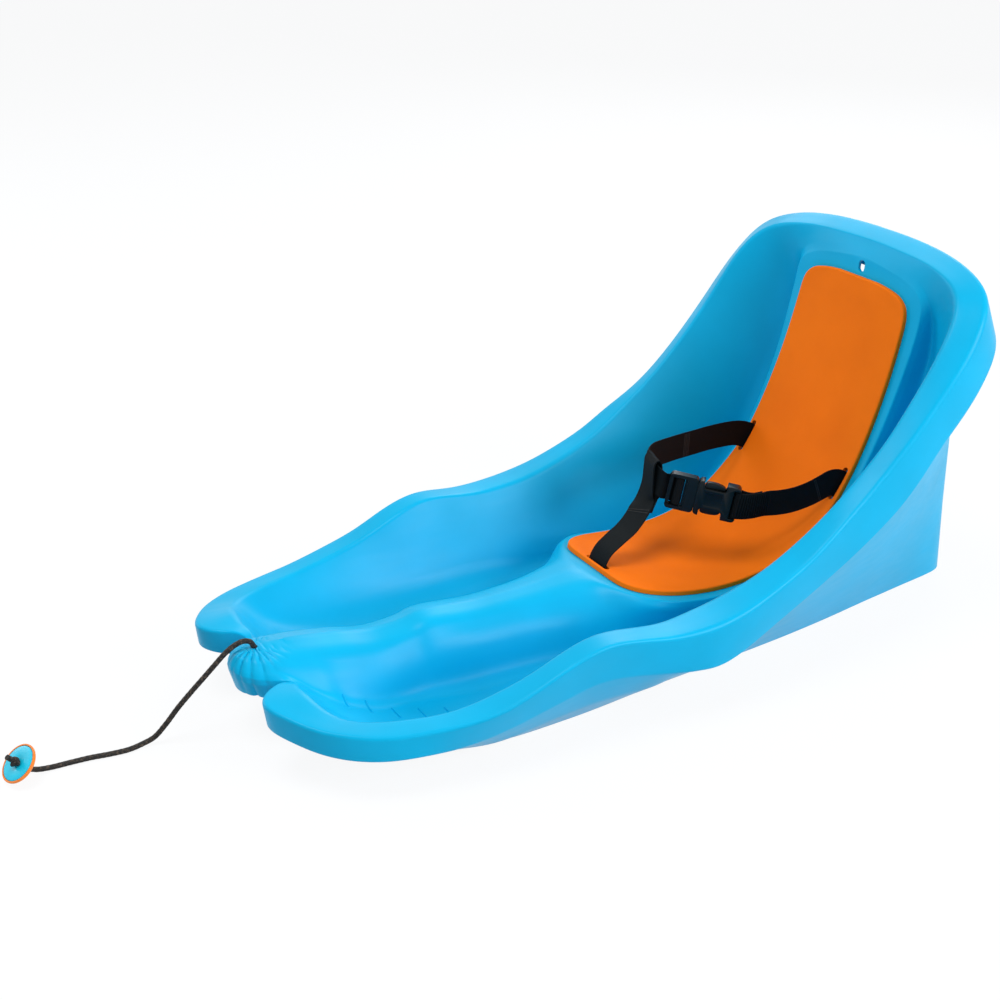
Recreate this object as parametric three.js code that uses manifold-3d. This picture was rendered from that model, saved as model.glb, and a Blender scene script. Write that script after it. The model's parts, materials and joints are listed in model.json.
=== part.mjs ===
// Baby pull sled. Millimetres, +Z up, the nose towards -Y, the backrest towards +Y and the symmetry plane
// at X = 0.
import * as THREE from "three";
import { mergeVertices } from "three/addons/utils/BufferGeometryUtils.js";
import Module from "manifold-3d";

const wasm = await Module();
wasm.setup();

// Sizes of the sled in millimetres.
const sledLength = 848; // lobe tips to the foot's rear wall
const wallThickness = 3.4; // moulded shell
const padThickness = 5.2;
const padGap = 0.5;
const webbingWidth = 30;
const webbingThickness = 1.6;
const clearance = 0.35;
const cutOverrun = 12;
const ropeDiameter = 5.2;
const ropeSides = 8;
const ropeSteps = 66;
const knotDiameter = 12;
const knotHeight = 8;
const handleDiameter = 38.6;
const handleHeight = 6.6;
const handleSides = 40;
const buckleLength = 76;
const buckleSide = 5; // the buckle on each side of the webbing
const buckleWidth = webbingWidth + buckleSide + buckleSide;
const buckleHeight = 12;
const slotPlay = 3.5;
const slotLength = webbingWidth + slotPlay;
const slotWidth = 5;
const peepHoleWidth = 9;
const peepHoleHeight = 13;
const keelWidth = 7;
const ropeHoleDepth = 14;
const padStationStep = 0.4;
const padCrownShare = 0.7;
const plugLapShare = 0.02;
const prongSlopeShare = 0.05;
const socketBarShare = 0.2;
const finishes = {
  hull: { color: 0x10a8e8, roughness: 0.45 },
  pad: { color: 0xef7312, roughness: 0.9 },
  webbing: { color: 0x17181a, roughness: 0.9 },
  buckle: { color: 0x121315, roughness: 0.5 },
  handle: { color: 0x2fa9d2, roughness: 0.5 },
  rim: { color: 0xf08028, roughness: 0.5 },
};

// The tables hold thousandths of the sled's length, in the order x, y, z.
const wholeShare = 1000;
const fromShare = (share) => (share / wholeShare) * sledLength;
const point = ([x, y, z]) => new THREE.Vector3(fromShare(x), fromShare(y), fromShare(z));

// The keels under the troughs, the hole to hang the sled from and the opening in the foot's rear wall.
const keelMiddleShare = 106;
const keelEndShares = [205, 470];
const keelHeightShare = 12.5;
const peepHoleShare = [0, 883, 414.5];
const rearHalfWidthShare = 96;
const rearHeightShares = [232, 398];
const rearDepthShares = [912, 1010];

// The half section of the hull at each station, from the centre line outwards: ridge or panel centre, its
// edge, its shoulder, inner and outer edge of the trough's floor, inner and outer edge of the rim, lower edge
// of the skirt, top and bottom of the foot's wall. The stations run from the nose round the lobe, along the
// side and round the rear corner to the top of the back.
const hullStationShares = [
  [[0, 17.5, 106], [0, 10, 104], [0, 6, 102], [0, 3.5, 98.5], [0, 0, 92.5],
    [0, -1, 87.5], [0, 0, 80], [0, 5, 60], [0, 20, 56], [0, 77.5, 55]],
  [[0, 27.5, 107.5], [15, 25, 105], [22.5, 21, 101], [27.5, 19, 96], [31, 16, 91],
    [34, 15, 86], [35, 16, 79], [32.5, 22.5, 60], [25, 37.5, 56], [25, 77.5, 55]],
  [[0, 42.5, 107.5], [21, 44, 105], [32.5, 45, 99], [41, 47.5, 90], [49, 51, 85],
    [52.5, 51, 84], [51, 47.5, 79], [49, 47.5, 59], [48, 60, 56], [50, 78, 52.5]],
  [[0, 60, 107.5], [26, 65, 101], [41, 71, 87.5], [57.5, 77.5, 65], [72.5, 70, 69],
    [72.5, 51, 91], [64, 39, 92.5], [64, 41, 62.5], [70, 55, 59], [71, 78, 50]],
  [[0, 77.5, 106], [27.5, 82.5, 99], [45, 90, 82.5], [62.5, 97.5, 52.5], [82.5, 80, 60],
    [85, 47.5, 94], [77.5, 17.5, 95], [77.5, 21, 64], [82.5, 42.5, 57.5], [85, 78, 45]],
  [[0, 92.5, 104], [29, 100, 96], [46, 107.5, 75], [62.5, 115, 40], [105, 80, 59],
    [105, 49, 96], [102.5, 0, 95], [104, 4, 65], [105, 40, 57.5], [103, 78, 44]],
  [[0, 112.5, 100.5], [30, 120, 92.5], [47.5, 125, 67.5], [64, 130, 34], [125, 97.5, 47.5],
    [130, 55, 89], [135, 15, 91], [136, 17.5, 61], [131, 52.5, 52.5], [120, 92, 35]],
  [[0, 132.5, 97.5], [30, 137.5, 89], [47.5, 141, 62.5], [64, 144, 27.5], [137.5, 119, 37.5],
    [152.5, 71, 82.5], [160, 34, 85], [161, 36, 55], [153, 65, 44], [130, 114, 22]],
  [[0, 152.5, 92.5], [30, 157.5, 84], [46, 160, 57.5], [62.5, 160, 22.5], [140, 140, 30],
    [167.5, 97.5, 80], [182.5, 62.5, 81], [185, 64, 51], [171, 90, 34], [135, 141, 13]],
  [[0, 175, 89], [29, 177.5, 81], [44, 179, 55], [57.5, 180, 19], [140, 165, 22.5],
    [179, 127.5, 80], [200, 96, 77.5], [202, 98, 49], [185, 122, 25], [140, 166, 4]],
  [[0, 197.5, 89], [27.5, 199, 82.5], [42.5, 200, 55], [55, 201, 16], [140, 190, 17.5],
    [187.5, 160, 80], [211, 132.5, 77.5], [210, 138, 47.5], [187, 160, 20], [149, 187, 0]],
  [[0, 220, 91], [25, 221, 86], [41, 222.5, 60], [56, 222.5, 16], [141, 215, 15],
    [192.5, 190, 82.5], [221, 172.5, 79], [208, 180, 42], [185, 192.5, 16], [156, 208, 0]],
  [[0, 237.5, 95.5], [24, 237.5, 92], [42.5, 239, 65], [59, 244, 15], [144, 240, 14],
    [195, 222.5, 89], [229, 215, 85], [212.5, 221, 47.5], [190, 230, 20], [160, 237.5, 0]],
  [[0, 275, 92.5], [22.5, 275, 89], [45, 276, 65], [62.5, 279, 15], [150, 277.5, 14],
    [197.5, 267.5, 101], [229, 262.5, 99], [215, 266, 57.5], [192.5, 272.5, 25], [163, 277.5, 0]],
  [[0, 312.5, 89], [22.5, 312.5, 85], [45, 314, 62.5], [64, 316, 14], [154, 319, 14],
    [199, 312.5, 120], [231, 307.5, 119], [216, 311, 67.5], [192.5, 317.5, 30], [162.5, 322.5, 0]],
  [[0, 350, 89], [24, 350, 85], [47.5, 351, 62.5], [66, 354, 14], [156, 362.5, 14],
    [201, 352.5, 131], [232.5, 352.5, 130], [219, 355, 77.5], [194, 362.5, 34], [161, 370, 0]],
  [[0, 390, 90], [26, 390, 86], [52.5, 391, 62.5], [72.5, 395, 14], [157.5, 406, 14],
    [202.5, 397.5, 126], [234, 397.5, 124], [222.5, 400, 72.5], [195, 407.5, 32.5], [157.5, 412.5, 0]],
  [[0, 425, 92.5], [32.5, 426, 89], [61, 429, 64], [84, 435, 14], [157.5, 445, 14],
    [202.5, 437.5, 121], [240, 432.5, 120], [230, 437.5, 67.5], [200, 440, 35], [154, 450, 0]],
  [[0, 455, 95], [42.5, 457.5, 91], [77.5, 462.5, 65], [100, 470, 14], [156, 480, 14],
    [201, 472.5, 124], [244, 467.5, 120], [237.5, 470, 65], [202.5, 475, 45], [151, 487.5, 0]],
  [[0, 476, 89], [75, 482, 87], [97.5, 490, 77], [107.5, 500, 14], [154, 510, 14],
    [200, 502.5, 127.5], [246, 497.5, 122.5], [239, 500, 62.5], [205, 505, 55], [149, 520, 0]],
  [[0, 515, 80], [100, 515, 80], [109, 518, 71], [112.5, 530, 14], [152.5, 545, 14],
    [201, 540, 136], [245, 535, 130], [236, 537.5, 71], [207.5, 542.5, 65], [147.5, 560, 0]],
  [[0, 562.5, 71], [104, 562.5, 71], [111, 566, 62], [114, 577.5, 14], [149, 587.5, 15],
    [202.5, 582.5, 150], [242.5, 575, 144], [231, 585, 90], [209, 590, 84], [144, 607.5, 0]],
  [[0, 615, 67.5], [105, 615, 67.5], [112, 619, 58], [115, 627.5, 15], [147.5, 635, 17.5],
    [202.5, 625, 171], [240, 617.5, 162.5], [229, 629, 110], [209, 635, 105], [140, 662.5, 0]],
  [[0, 665, 71], [105, 665, 71], [112.5, 670, 61], [115.5, 681, 20], [147.5, 685, 25],
    [204, 662.5, 196], [237.5, 652.5, 185], [229, 666, 130], [209, 676, 125], [135, 715, 0]],
  [[0, 712.5, 86], [105, 712.5, 86], [112.5, 719, 77], [116, 733, 35], [147.5, 731, 42.5],
    [204, 695, 221], [232.5, 685, 205], [229, 702.5, 151], [207.5, 715, 145], [129, 765, 0]],
  [[0, 751, 112], [105, 751, 112], [112.5, 759, 104], [117.5, 780, 64], [150, 772, 78],
    [204, 725, 247.5], [230, 714, 226], [229, 737.5, 174], [206, 752.5, 165], [124, 800, 0]],
  [[0, 784, 144], [105, 784, 144], [112.5, 792, 137], [117.5, 818, 104], [150, 806, 117],
    [204, 755, 277.5], [229, 745, 254], [227.5, 769, 196], [200, 790, 182.5], [119, 835, 0]],
  [[0, 812.5, 189], [105, 812.5, 189], [111, 821, 184], [116, 847, 158], [149, 833, 170],
    [202.5, 782.5, 311], [227.5, 776, 285], [225, 800, 227.5], [187.5, 830, 200], [115, 867.5, 0]],
  [[0, 836, 241], [104, 836, 241], [110, 845, 237], [115, 870, 217], [146, 857, 227],
    [201, 809, 346], [225, 807.5, 322.5], [222.5, 829, 265], [170, 872, 215], [111, 897.5, 0]],
  [[0, 853, 287.5], [104, 853, 287.5], [108.5, 862, 285], [114, 886, 275], [142.5, 875, 285],
    [197.5, 832.5, 381], [222.5, 837.5, 360], [219, 860, 300], [147.5, 910, 225], [107.5, 927.5, 0]],
  [[0, 866, 332.5], [104, 866, 332.5], [108.5, 875, 331], [113, 898, 326], [137.5, 889, 333],
    [189, 852.5, 407.5], [216, 860, 390], [214, 885, 335], [125, 942, 230], [104, 955, 0]],
  [[0, 875, 370], [104, 875, 370], [109, 882, 370], [114, 894, 366.5], [131, 889, 375],
    [172.5, 867.5, 425], [205, 880, 416], [204, 905, 362.5], [105, 965, 230], [99, 977.5, 0]],
  [[0, 879, 397], [102, 879, 400], [107, 881, 401], [113, 883.5, 403.5], [127, 883, 412],
    [147.5, 879, 435], [182.5, 897.5, 434], [182.5, 917.5, 382.5], [88, 973, 225], [88, 991, 0]],
  [[0, 881, 409], [72, 882, 416], [78, 883.3, 420.5], [85, 884.8, 426.5], [95, 887, 434.5],
    [105, 889, 442.5], [135, 912.5, 449], [136, 925, 397.5], [62.5, 976, 222.5], [62.5, 997.5, 0]],
  [[0, 882, 417], [37, 883, 422], [40, 884.6, 426], [44, 886.7, 431.3], [49.5, 889.6, 438.7],
    [55, 892.5, 446], [72.5, 921, 456], [75, 929, 405], [32.5, 977.5, 222.5], [32.5, 999.5, 0]],
  [[0, 882.5, 422], [0, 883.5, 426], [0, 885.2, 430], [0, 887.7, 435], [0, 891, 441],
    [0, 894, 447.5], [0, 922.5, 459], [0, 930, 407.5], [0, 977.5, 222.5], [0, 1000, 0]],
];
// How far each inner rail's corner is rounded, as a share of the shorter side beside it, and in how many
// steps.
const railRoundShares = [0.42, 0.45, 0.36, 0.36, 0.3, 0.33, 0.22, 0.3];
const railRoundSteps = [1, 1, 2, 2, 2, 2, 1, 1];
const hullColumns = 46;

// The pad's rows from its front edge to its top edge: the hull station below the row, and the half width
// there.
const padRowShares = [
  [19.1, 40], [19.14, 54], [19.24, 64], [19.4, 72], [19.6, 79], [19.85, 85], [20.2, 90.5], [20.6, 94],
  [21, 96], [21.5, 98], [22, 99], [22.5, 99.5], [23, 100], [23.5, 101], [24, 102], [24.5, 102.5],
  [25, 102.5], [25.5, 102.5],
  [26, 101.5], [26.5, 100.5], [27, 100], [27.5, 99.5], [28, 99], [29, 98], [30, 97], [30.5, 96.3], [30.9, 95],
  [31.15, 92.5], [31.4, 88], [31.65, 81], [31.9, 71], [32.15, 58], [32.35, 42], [32.5, 24],
];
const padCrown = 1.2;
const padEdgeRound = 1.4;

// Each strap slot: its middle on the panel, the direction along it and the direction out of the panel.
const backSlotShare = [92, 797, 163.5];
const backSlotAlong = new THREE.Vector3(0, 0.535, 0.844);
const backSlotOut = new THREE.Vector3(0, -0.844, 0.535);
const frontSlotShare = [0, 488, 86.4];
const frontSlotAlong = new THREE.Vector3(1, 0, 0);
const frontSlotOut = new THREE.Vector3(0, 0.225, 0.974);

// The webbing's centre lines in the order of travel, each place with the direction across the webbing there.
const leftStrapShares = [
  { at: [-92, 810.5, 155], across: [0, 0.535, 0.844] },
  { at: [-92, 797, 163.5], across: [0, 0.535, 0.844] },
  { at: [-92, 788.5, 168.9], across: [0, 0.52, 0.86] },
  { at: [-91, 770, 175.5], across: [0, 0.36, 0.93] },
  { at: [-88, 732, 179.5], across: [0, 0.14, 0.99] },
  { at: [-83, 690, 181], across: [0, 0.06, 1] },
  { at: [-76, 650, 183], across: [0, 0.02, 1] },
  { at: [-65, 614, 185], across: [-0.05, 0, 1] },
  { at: [-46, 594, 185.5], across: [0, 0, 1] },
  { at: [-24, 586.5, 184], across: [0.06, 0, 1] },
  { at: [-8, 582, 181], across: [0.1, 0.08, 1] },
];
const rightStrapShares = [
  { at: [92, 810.5, 155], across: [0, 0.535, 0.844] },
  { at: [92, 797, 163.5], across: [0, 0.535, 0.844] },
  { at: [92, 787, 169.8], across: [0, 0.535, 0.844] },
  { at: [91.4, 778.5, 171.2], across: [0, 0.2, 0.98] },
  { at: [90, 767, 167.5], across: [0, -0.1, 0.99] },
  { at: [87.5, 750, 161.5], across: [0.02, -0.05, 1] },
  { at: [84, 728, 157], across: [0.05, 0.05, 1] },
  { at: [79.5, 709, 155.5], across: [0.09, 0.12, 0.98] },
  { at: [75, 690, 156.5], across: [0.11, 0.135, 0.984] },
];
const frontStrapShares = [
  { at: [0, 484.6, 71.8], across: [1, 0, 0] },
  { at: [0, 488, 86.4], across: [1, 0, 0] },
  { at: [0, 490, 96], across: [1, 0, 0] },
  { at: [0, 498, 108], across: [1, 0, 0] },
  { at: [-2, 514, 117], across: [1, 0.04, 0] },
  { at: [-7, 538, 127], across: [1, 0.06, 0] },
  { at: [-15, 560, 141], across: [1, 0.02, 0] },
  { at: [-24, 574, 151], across: [1, -0.1, 0] },
  { at: [-26.5, 580, 167], across: [1, -0.24, 0] },
  { at: [-26, 581, 190], across: [1, -0.28, 0] },
  { at: [-25.8, 582, 201], across: [1, -0.3, 0] },
  { at: [-25, 586, 206], across: [1, -0.32, 0] },
  { at: [-24.5, 591.5, 202], across: [1, -0.32, 0] },
  { at: [-24, 593, 192], across: [1, -0.32, 0] },
  { at: [-24, 593, 173], across: [1, -0.32, 0] },
  { at: [-24.5, 590.5, 161.5], across: [1, -0.24, 0] },
  { at: [-23, 579.5, 152.5], across: [1, -0.08, 0] },
  { at: [-14.5, 562.6, 139], across: [1, 0.02, 0] },
];
// The ends of both lap straps round the buckle's bars, as shares of the buckle's length, width and height.
const leftLoopShares = [
  [-0.563, 0, -0.325], [-0.48, 0, -0.41], [-0.417, 0, -0.184], [-0.389, 0, 0.233], [-0.349, 0, 0.353],
  [-0.308, 0, 0.233], [-0.299, 0, -0.085], [-0.343, 0, -0.382], [-0.424, 0, -0.537], [-0.508, 0, -0.579],
];
const rightLoopShares = [
  [0.759, 0.021, -0.565], [0.647, 0, -0.085], [0.558, 0, 0.24], [0.483, 0, 0.38], [0.427, 0, 0.23],
  [0.415, 0, -0.042], [0.433, 0, -0.335], [0.495, 0, -0.43], [0.58, 0, -0.325], [0.67, 0, -0.452],
  [0.748, 0.021, -0.777], [0.803, 0.042, -1.06],
];
const webbingStepsPerPlace = 3;

// The strap stops behind the slots.
const stopLength = 39;
const stopWidth = 11;
const stopThickness = 4;
const stopClearance = 1.05;

// The buckle's middle, its long direction from plug to socket, and the direction across the webbing.
const buckleMiddleShare = [37.5, 619, 168];
const buckleAlong = new THREE.Vector3(0.634, 0.752, -0.177);
const buckleAcross = new THREE.Vector3(0.114, 0.135, 0.984);
// Places along the buckle as shares of its length, places across it as shares of its width, and so on.
const halfShare = 0.5;
const beyondShare = 1.5; // outside the buckle in every direction
const plugOuterBarShares = [-0.5, -0.46];
const plugMiddleBarShares = [-0.368, -0.326];
const plugWindowEndShare = -0.25;
const plugShoulderShare = -0.1;
const guideEndShare = 0.16;
const prongRootShare = -0.095;
const prongHeadShare = 0.06;
const prongTipShare = 0.27;
const socketMouthShare = -0.092;
const socketChamberShare = 0.31;
const socketNotchShares = [-0.02, 0.3];
const socketNotchInnerShare = 0.29;
const socketStrapWindowShares = [0.35, 0.452];
const railInnerShare = 0.405;
const prongInnerShare = 0.235;
const prongOuterShare = 0.35;
const prongHeadOuterShare = 0.41;
const prongTipOuterShare = 0.36;
const guideHalfShare = 0.09;
const barHalfHeightShare = 0.17;
const bodyHalfHeightShare = 0.38;
const armHalfHeightShare = 0.2;
const chamberHalfHeightShare = 0.26;
const socketWallShare = 0.42;

// The rope's centre line from the knot under the nose to its end on the handle.
const ropeShares = [
  [0, 39, 88.2], [0, 35.4, 96.9], [0, 31, 107.7], [-0.5, 27, 114.2], [-1.5, 19, 116], [-3.5, 9, 112],
  [-6, -1, 104],
  [-9, -12, 92], [-12.5, -25, 77.5], [-17, -40, 60.5], [-21, -55, 43], [-25.5, -70, 23], [-29, -83, 9],
  [-30.5, -96, 4], [-28, -113, 3.4], [-30, -134, 3.4], [-34, -155, 3.4], [-36, -176, 3.4],
  [-37.5, -199, 3.6], [-37.2, -214, 6.6], [-35.8, -223.5, 12.8], [-34.4, -231.2, 21.8], [-32.2, -243, 35.3],
];
const ropeHoleDiameter = 6.6;
const knotProfileShares = [[0, -0.8], [0.5, -1], [0.85, -0.7], [1, 0], [0.85, 0.7], [0.5, 1], [0, 0.8]];
const outerKnotShare = 0.3;
const outerKnotSizeShare = 0.7;
// Turned profiles of the handle, outwards from the rope's hole and up from the middle of its edge.
const rimProfileShares = [
  [0, -0.62], [0.55, -0.62], [0.86, -0.48], [0.98, -0.24], [1, 0], [0.96, 0.16], [0.9, 0.16],
  [0.88, -0.12], [0, -0.12],
];
const faceProfileShares = [
  [0, -0.06], [0.86, -0.06], [0.86, 0.14], [0.8, 0.22], [0.35, 0.26], [0.2, 0.2], [0, 0.2],
];
const ropeHoleOut = new THREE.Vector3(0, -0.38, 0.925);
const knotInnerShare = [0, 35.4, 96.9];
const handleShare = [-34.4, -231.5, 21.8];
const handleFacing = new THREE.Vector3(0.118, -0.648, 0.752);

// A closed solid of a three.js geometry, and back.
function solid(geometry) {
  const plain = geometry.index ? geometry.toNonIndexed() : geometry.clone();
  plain.deleteAttribute("normal");
  plain.deleteAttribute("uv");
  const welded = mergeVertices(plain);
  return new wasm.Manifold(
    new wasm.Mesh({
      numProp: 3,
      vertProperties: welded.attributes.position.array,
      triVerts: new Uint32Array(welded.index.array),
    }),
  );
}

function geometryOf(body) {
  const raw = body.getMesh();
  const geometry = new THREE.BufferGeometry();
  geometry.setAttribute("position", new THREE.BufferAttribute(raw.vertProperties, raw.numProp));
  geometry.setIndex(new THREE.BufferAttribute(raw.triVerts, 1));
  return geometry;
}

function meshOf(name, body, finish) {
  const plain = geometryOf(body).toNonIndexed();
  plain.computeVertexNormals();
  const mesh = new THREE.Mesh(plain, new THREE.MeshStandardMaterial(finish));
  mesh.name = name;
  return mesh;
}

function boxSolid(low, high) {
  const size = high.clone().sub(low);
  const box = new THREE.BoxGeometry(size.x, size.y, size.z);
  const middle = low.clone().add(high).multiplyScalar(0.5);
  return solid(box.translate(middle.x, middle.y, middle.z));
}

// A rounded bar with a flat outline in X and Y, drawn up along Z from low to high.
function plateSolid(halfX, halfY, corner, low, high) {
  const outline = new THREE.Shape();
  outline.moveTo(corner - halfX, -halfY);
  outline.lineTo(halfX - corner, -halfY);
  outline.quadraticCurveTo(halfX, -halfY, halfX, corner - halfY);
  outline.lineTo(halfX, halfY - corner);
  outline.quadraticCurveTo(halfX, halfY, halfX - corner, halfY);
  outline.lineTo(corner - halfX, halfY);
  outline.quadraticCurveTo(-halfX, halfY, -halfX, halfY - corner);
  outline.lineTo(-halfX, corner - halfY);
  outline.quadraticCurveTo(-halfX, -halfY, corner - halfX, -halfY);
  const depth = high - low;
  const plate = new THREE.ExtrudeGeometry(outline, { depth, bevelEnabled: false, curveSegments: 3 });
  return solid(plate.translate(0, 0, low));
}

// A matrix whose X, Y and Z run along, across and out of a piece at a place.
function frameAt(place, along, across) {
  const x = along.clone().normalize();
  const z = x.clone().cross(across).normalize();
  const y = z.clone().cross(x).normalize();
  return new THREE.Matrix4().makeBasis(x, y, z).setPosition(place);
}

const placed = (body, matrix) => body.transform(matrix.elements);

// The section of the hull between the stations, with its corners rounded.
const mirrored = (p) => new THREE.Vector3(-p.x, p.y, p.z);
const railCurves = hullStationShares[0].map((_, rail) => {
  const own = hullStationShares.map((station) => point(station[rail]));
  const before = mirrored(own[1]);
  const after = mirrored(own[own.length - 2]);
  return new THREE.CatmullRomCurve3([before, ...own, after], false, "centripetal");
});
const stationCount = hullStationShares.length;

function sectionAt(station) {
  const place = (station + 1) / (stationCount + 1);
  const corners = railCurves.map((curve) => curve.getPoint(place));
  corners.forEach((corner) => corner.setZ(Math.max(corner.z, 0)));
  const points = [corners[0]];
  railRoundShares.forEach((share, index) => {
    const corner = corners[index + 1];
    const towardsBefore = corners[index].clone().sub(corner);
    const towardsAfter = corners[index + 2].clone().sub(corner);
    const reach = share * Math.min(towardsBefore.length(), towardsAfter.length());
    const start = corner.clone().addScaledVector(towardsBefore.normalize(), reach);
    const end = corner.clone().addScaledVector(towardsAfter.normalize(), reach);
    const arc = new THREE.QuadraticBezierCurve3(start, corner, end);
    points.push(...arc.getPoints(railRoundSteps[index]));
  });
  points.push(corners[corners.length - 1]);
  return points;
}

// The hull's outer skin as columns of points, and the same skin moved inwards by the wall's thickness.
function hullSkins() {
  const outer = Array.from({ length: hullColumns + 1 }, (_, column) =>
    sectionAt((column / hullColumns) * (stationCount - 1)),
  );
  const rows = outer[0].length;
  outer[0].forEach((p) => p.setX(0));
  outer[hullColumns].forEach((p) => p.setX(0));
  outer.forEach((section) => section[0].setX(0));
  const at = (column, row) => {
    if (column < 0) return mirrored(outer[-column][row]);
    if (column > hullColumns) return mirrored(outer[hullColumns * 2 - column][row]);
    if (row < 0) return mirrored(outer[column][-row]);
    return outer[column][row];
  };
  const inner = outer.map((section, column) =>
    section.map((p, row) => {
      const last = row === rows - 1;
      const along = at(column + 1, row).clone().sub(at(column - 1, row));
      const out = (last ? p : at(column, row + 1)).clone().sub(at(column, row - 1));
      const normal = along.cross(out);
      if (last) normal.setZ(0);
      normal.normalize();
      const moved = p.clone().addScaledVector(normal, wallThickness);
      if (p.x === 0) moved.setX(0);
      return moved;
    }),
  );
  return { outer, inner, rows };
}

function hullShell() {
  const { outer, inner, rows } = hullSkins();
  const corners = [];
  const addFace = (a, b, c, flipped) => {
    const list = flipped ? [a, c, b] : [a, b, c];
    list.forEach((p) => corners.push(p.x, p.y, p.z));
    [...list].reverse().forEach((p) => corners.push(-p.x, p.y, p.z));
  };
  const addSkin = (skin, flipped) => {
    for (let column = 0; column < hullColumns; column++) {
      for (let row = 0; row < rows - 1; row++) {
        const a = skin[column][row];
        const b = skin[column + 1][row];
        const c = skin[column + 1][row + 1];
        const d = skin[column][row + 1];
        if (a.distanceTo(b) > 0) addFace(a, c, b, flipped);
        if (c.distanceTo(d) > 0) addFace(a, d, c, flipped);
      }
    }
  };
  addSkin(outer, false);
  addSkin(inner, true);
  for (let column = 0; column < hullColumns; column++) {
    const a = outer[column][rows - 1];
    const b = outer[column + 1][rows - 1];
    const c = inner[column + 1][rows - 1];
    const d = inner[column][rows - 1];
    addFace(a, c, b, false);
    addFace(a, d, c, false);
  }
  const geometry = new THREE.BufferGeometry();
  geometry.setAttribute("position", new THREE.Float32BufferAttribute(corners, 3));
  return solid(geometry);
}

// A cutter for a strap slot, and a body with all three slots.
const mirroredShare = ([x, y, z]) => [-x, y, z];

function slotCutter(middleShare, along, out) {
  const cutter = plateSolid(slotLength / 2, slotWidth / 2, slotWidth / 2, -cutOverrun, cutOverrun);
  return placed(cutter, frameAt(point(middleShare), along, out.clone().cross(along)));
}

function withSlots(body) {
  return body
    .subtract(slotCutter(mirroredShare(backSlotShare), backSlotAlong, backSlotOut))
    .subtract(slotCutter(backSlotShare, backSlotAlong, backSlotOut))
    .subtract(slotCutter(frontSlotShare, frontSlotAlong, frontSlotOut));
}

// A runner under one leg trough.
function keelBody(side) {
  const [front, back] = keelEndShares.map(fromShare);
  const middle = side * fromShare(keelMiddleShare);
  return boxSolid(
    new THREE.Vector3(middle - keelWidth / 2, front, 0),
    new THREE.Vector3(middle + keelWidth / 2, back, fromShare(keelHeightShare)),
  );
}

function peepHoleCutter() {
  const turn = new THREE.Matrix4().makeRotationX(Math.PI / 2).setPosition(point(peepHoleShare));
  const half = peepHoleWidth / 2;
  return placed(plateSolid(half, peepHoleHeight / 2, half, -cutOverrun, cutOverrun), turn);
}

function ropeHoleCutter() {
  const radius = ropeHoleDiameter / 2;
  const hole = solid(new THREE.CylinderGeometry(radius, radius, ropeHoleDepth, ropeSides * 2));
  const turn = new THREE.Matrix4().makeRotationFromQuaternion(
    new THREE.Quaternion().setFromUnitVectors(new THREE.Vector3(0, 1, 0), ropeHoleOut.clone().normalize()),
  );
  const top = point(knotInnerShare).addScaledVector(ropeHoleOut, ropeHoleDepth / 2);
  return placed(hole, turn.setPosition(top));
}

function rearOpeningCutter() {
  const [low, high] = rearHeightShares.map(fromShare);
  const [front, back] = rearDepthShares.map(fromShare);
  const halfHeight = (high - low) / 2;
  const turn = new THREE.Matrix4().makeRotationX(Math.PI / 2).setPosition(0, back, low + halfHeight);
  return placed(plateSolid(fromShare(rearHalfWidthShare), halfHeight, halfHeight / 2, 0, back - front), turn);
}

function hullBody() {
  return withSlots(hullShell().add(keelBody(-1)).add(keelBody(1)))
    .subtract(peepHoleCutter())
    .subtract(ropeHoleCutter())
    .subtract(rearOpeningCutter());
}

// The pad lies on the panel: rows across it from the front edge to the top edge.
function padBody() {
  // The panel as the hull has it: straight from column to column.
  const onRail = (column) => {
    const station = (column / hullColumns) * (stationCount - 1);
    return railCurves[0].getPoint((station + 1) / (stationCount + 1));
  };
  const panelPlace = (station) => {
    const column = (station / (stationCount - 1)) * hullColumns;
    const before = Math.floor(column);
    return onRail(before).lerp(onRail(before + 1), column - before);
  };
  const rows = padRowShares.map(([station, halfShare], index) => {
    const place = panelPlace(station);
    const ahead = panelPlace(station + padStationStep).sub(panelPlace(station - padStationStep)).normalize();
    const out = new THREE.Vector3(0, -ahead.z, ahead.y);
    const half = fromShare(halfShare);
    const end = index === 0 || index === padRowShares.length - 1;
    const drop = end ? padEdgeRound : 0;
    const across = [-half, -half + padEdgeRound, -half / 2, 0, half / 2, half - padEdgeRound, half];
    const shoulder = padCrown * padCrownShare;
    const crown = [-padEdgeRound, 0, shoulder, padCrown, shoulder, 0, -padEdgeRound];
    const top = across.map((x, i) => {
      const height = padGap + padThickness + (end ? 0 : crown[i]) - drop;
      return place.clone().setX(x).addScaledVector(out, height);
    });
    const bottom = [half, 0, -half].map((x) => place.clone().setX(x).addScaledVector(out, padGap));
    return [...top, ...bottom];
  });
  return withSlots(solid(ringGeometry(rows)));
}

// A closed skin through rings of points that all run the same way round, with flat ends.
function ringGeometry(rings) {
  const corners = [];
  const face = (a, b, c) => [a, b, c].forEach((p) => corners.push(p.x, p.y, p.z));
  const count = rings[0].length;
  for (let ring = 0; ring < rings.length - 1; ring++) {
    for (let i = 0; i < count; i++) {
      const j = (i + 1) % count;
      face(rings[ring][i], rings[ring][j], rings[ring + 1][j]);
      face(rings[ring][i], rings[ring + 1][j], rings[ring + 1][i]);
    }
  }
  [rings[0], [...rings[rings.length - 1]].reverse()].forEach((ring) => {
    const middle = ring.reduce((sum, p) => sum.add(p), new THREE.Vector3()).divideScalar(count);
    ring.forEach((p, i) => face(ring[(i + 1) % count], p, middle));
  });
  const geometry = new THREE.BufferGeometry();
  geometry.setAttribute("position", new THREE.Float32BufferAttribute(corners, 3));
  return geometry;
}

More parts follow.
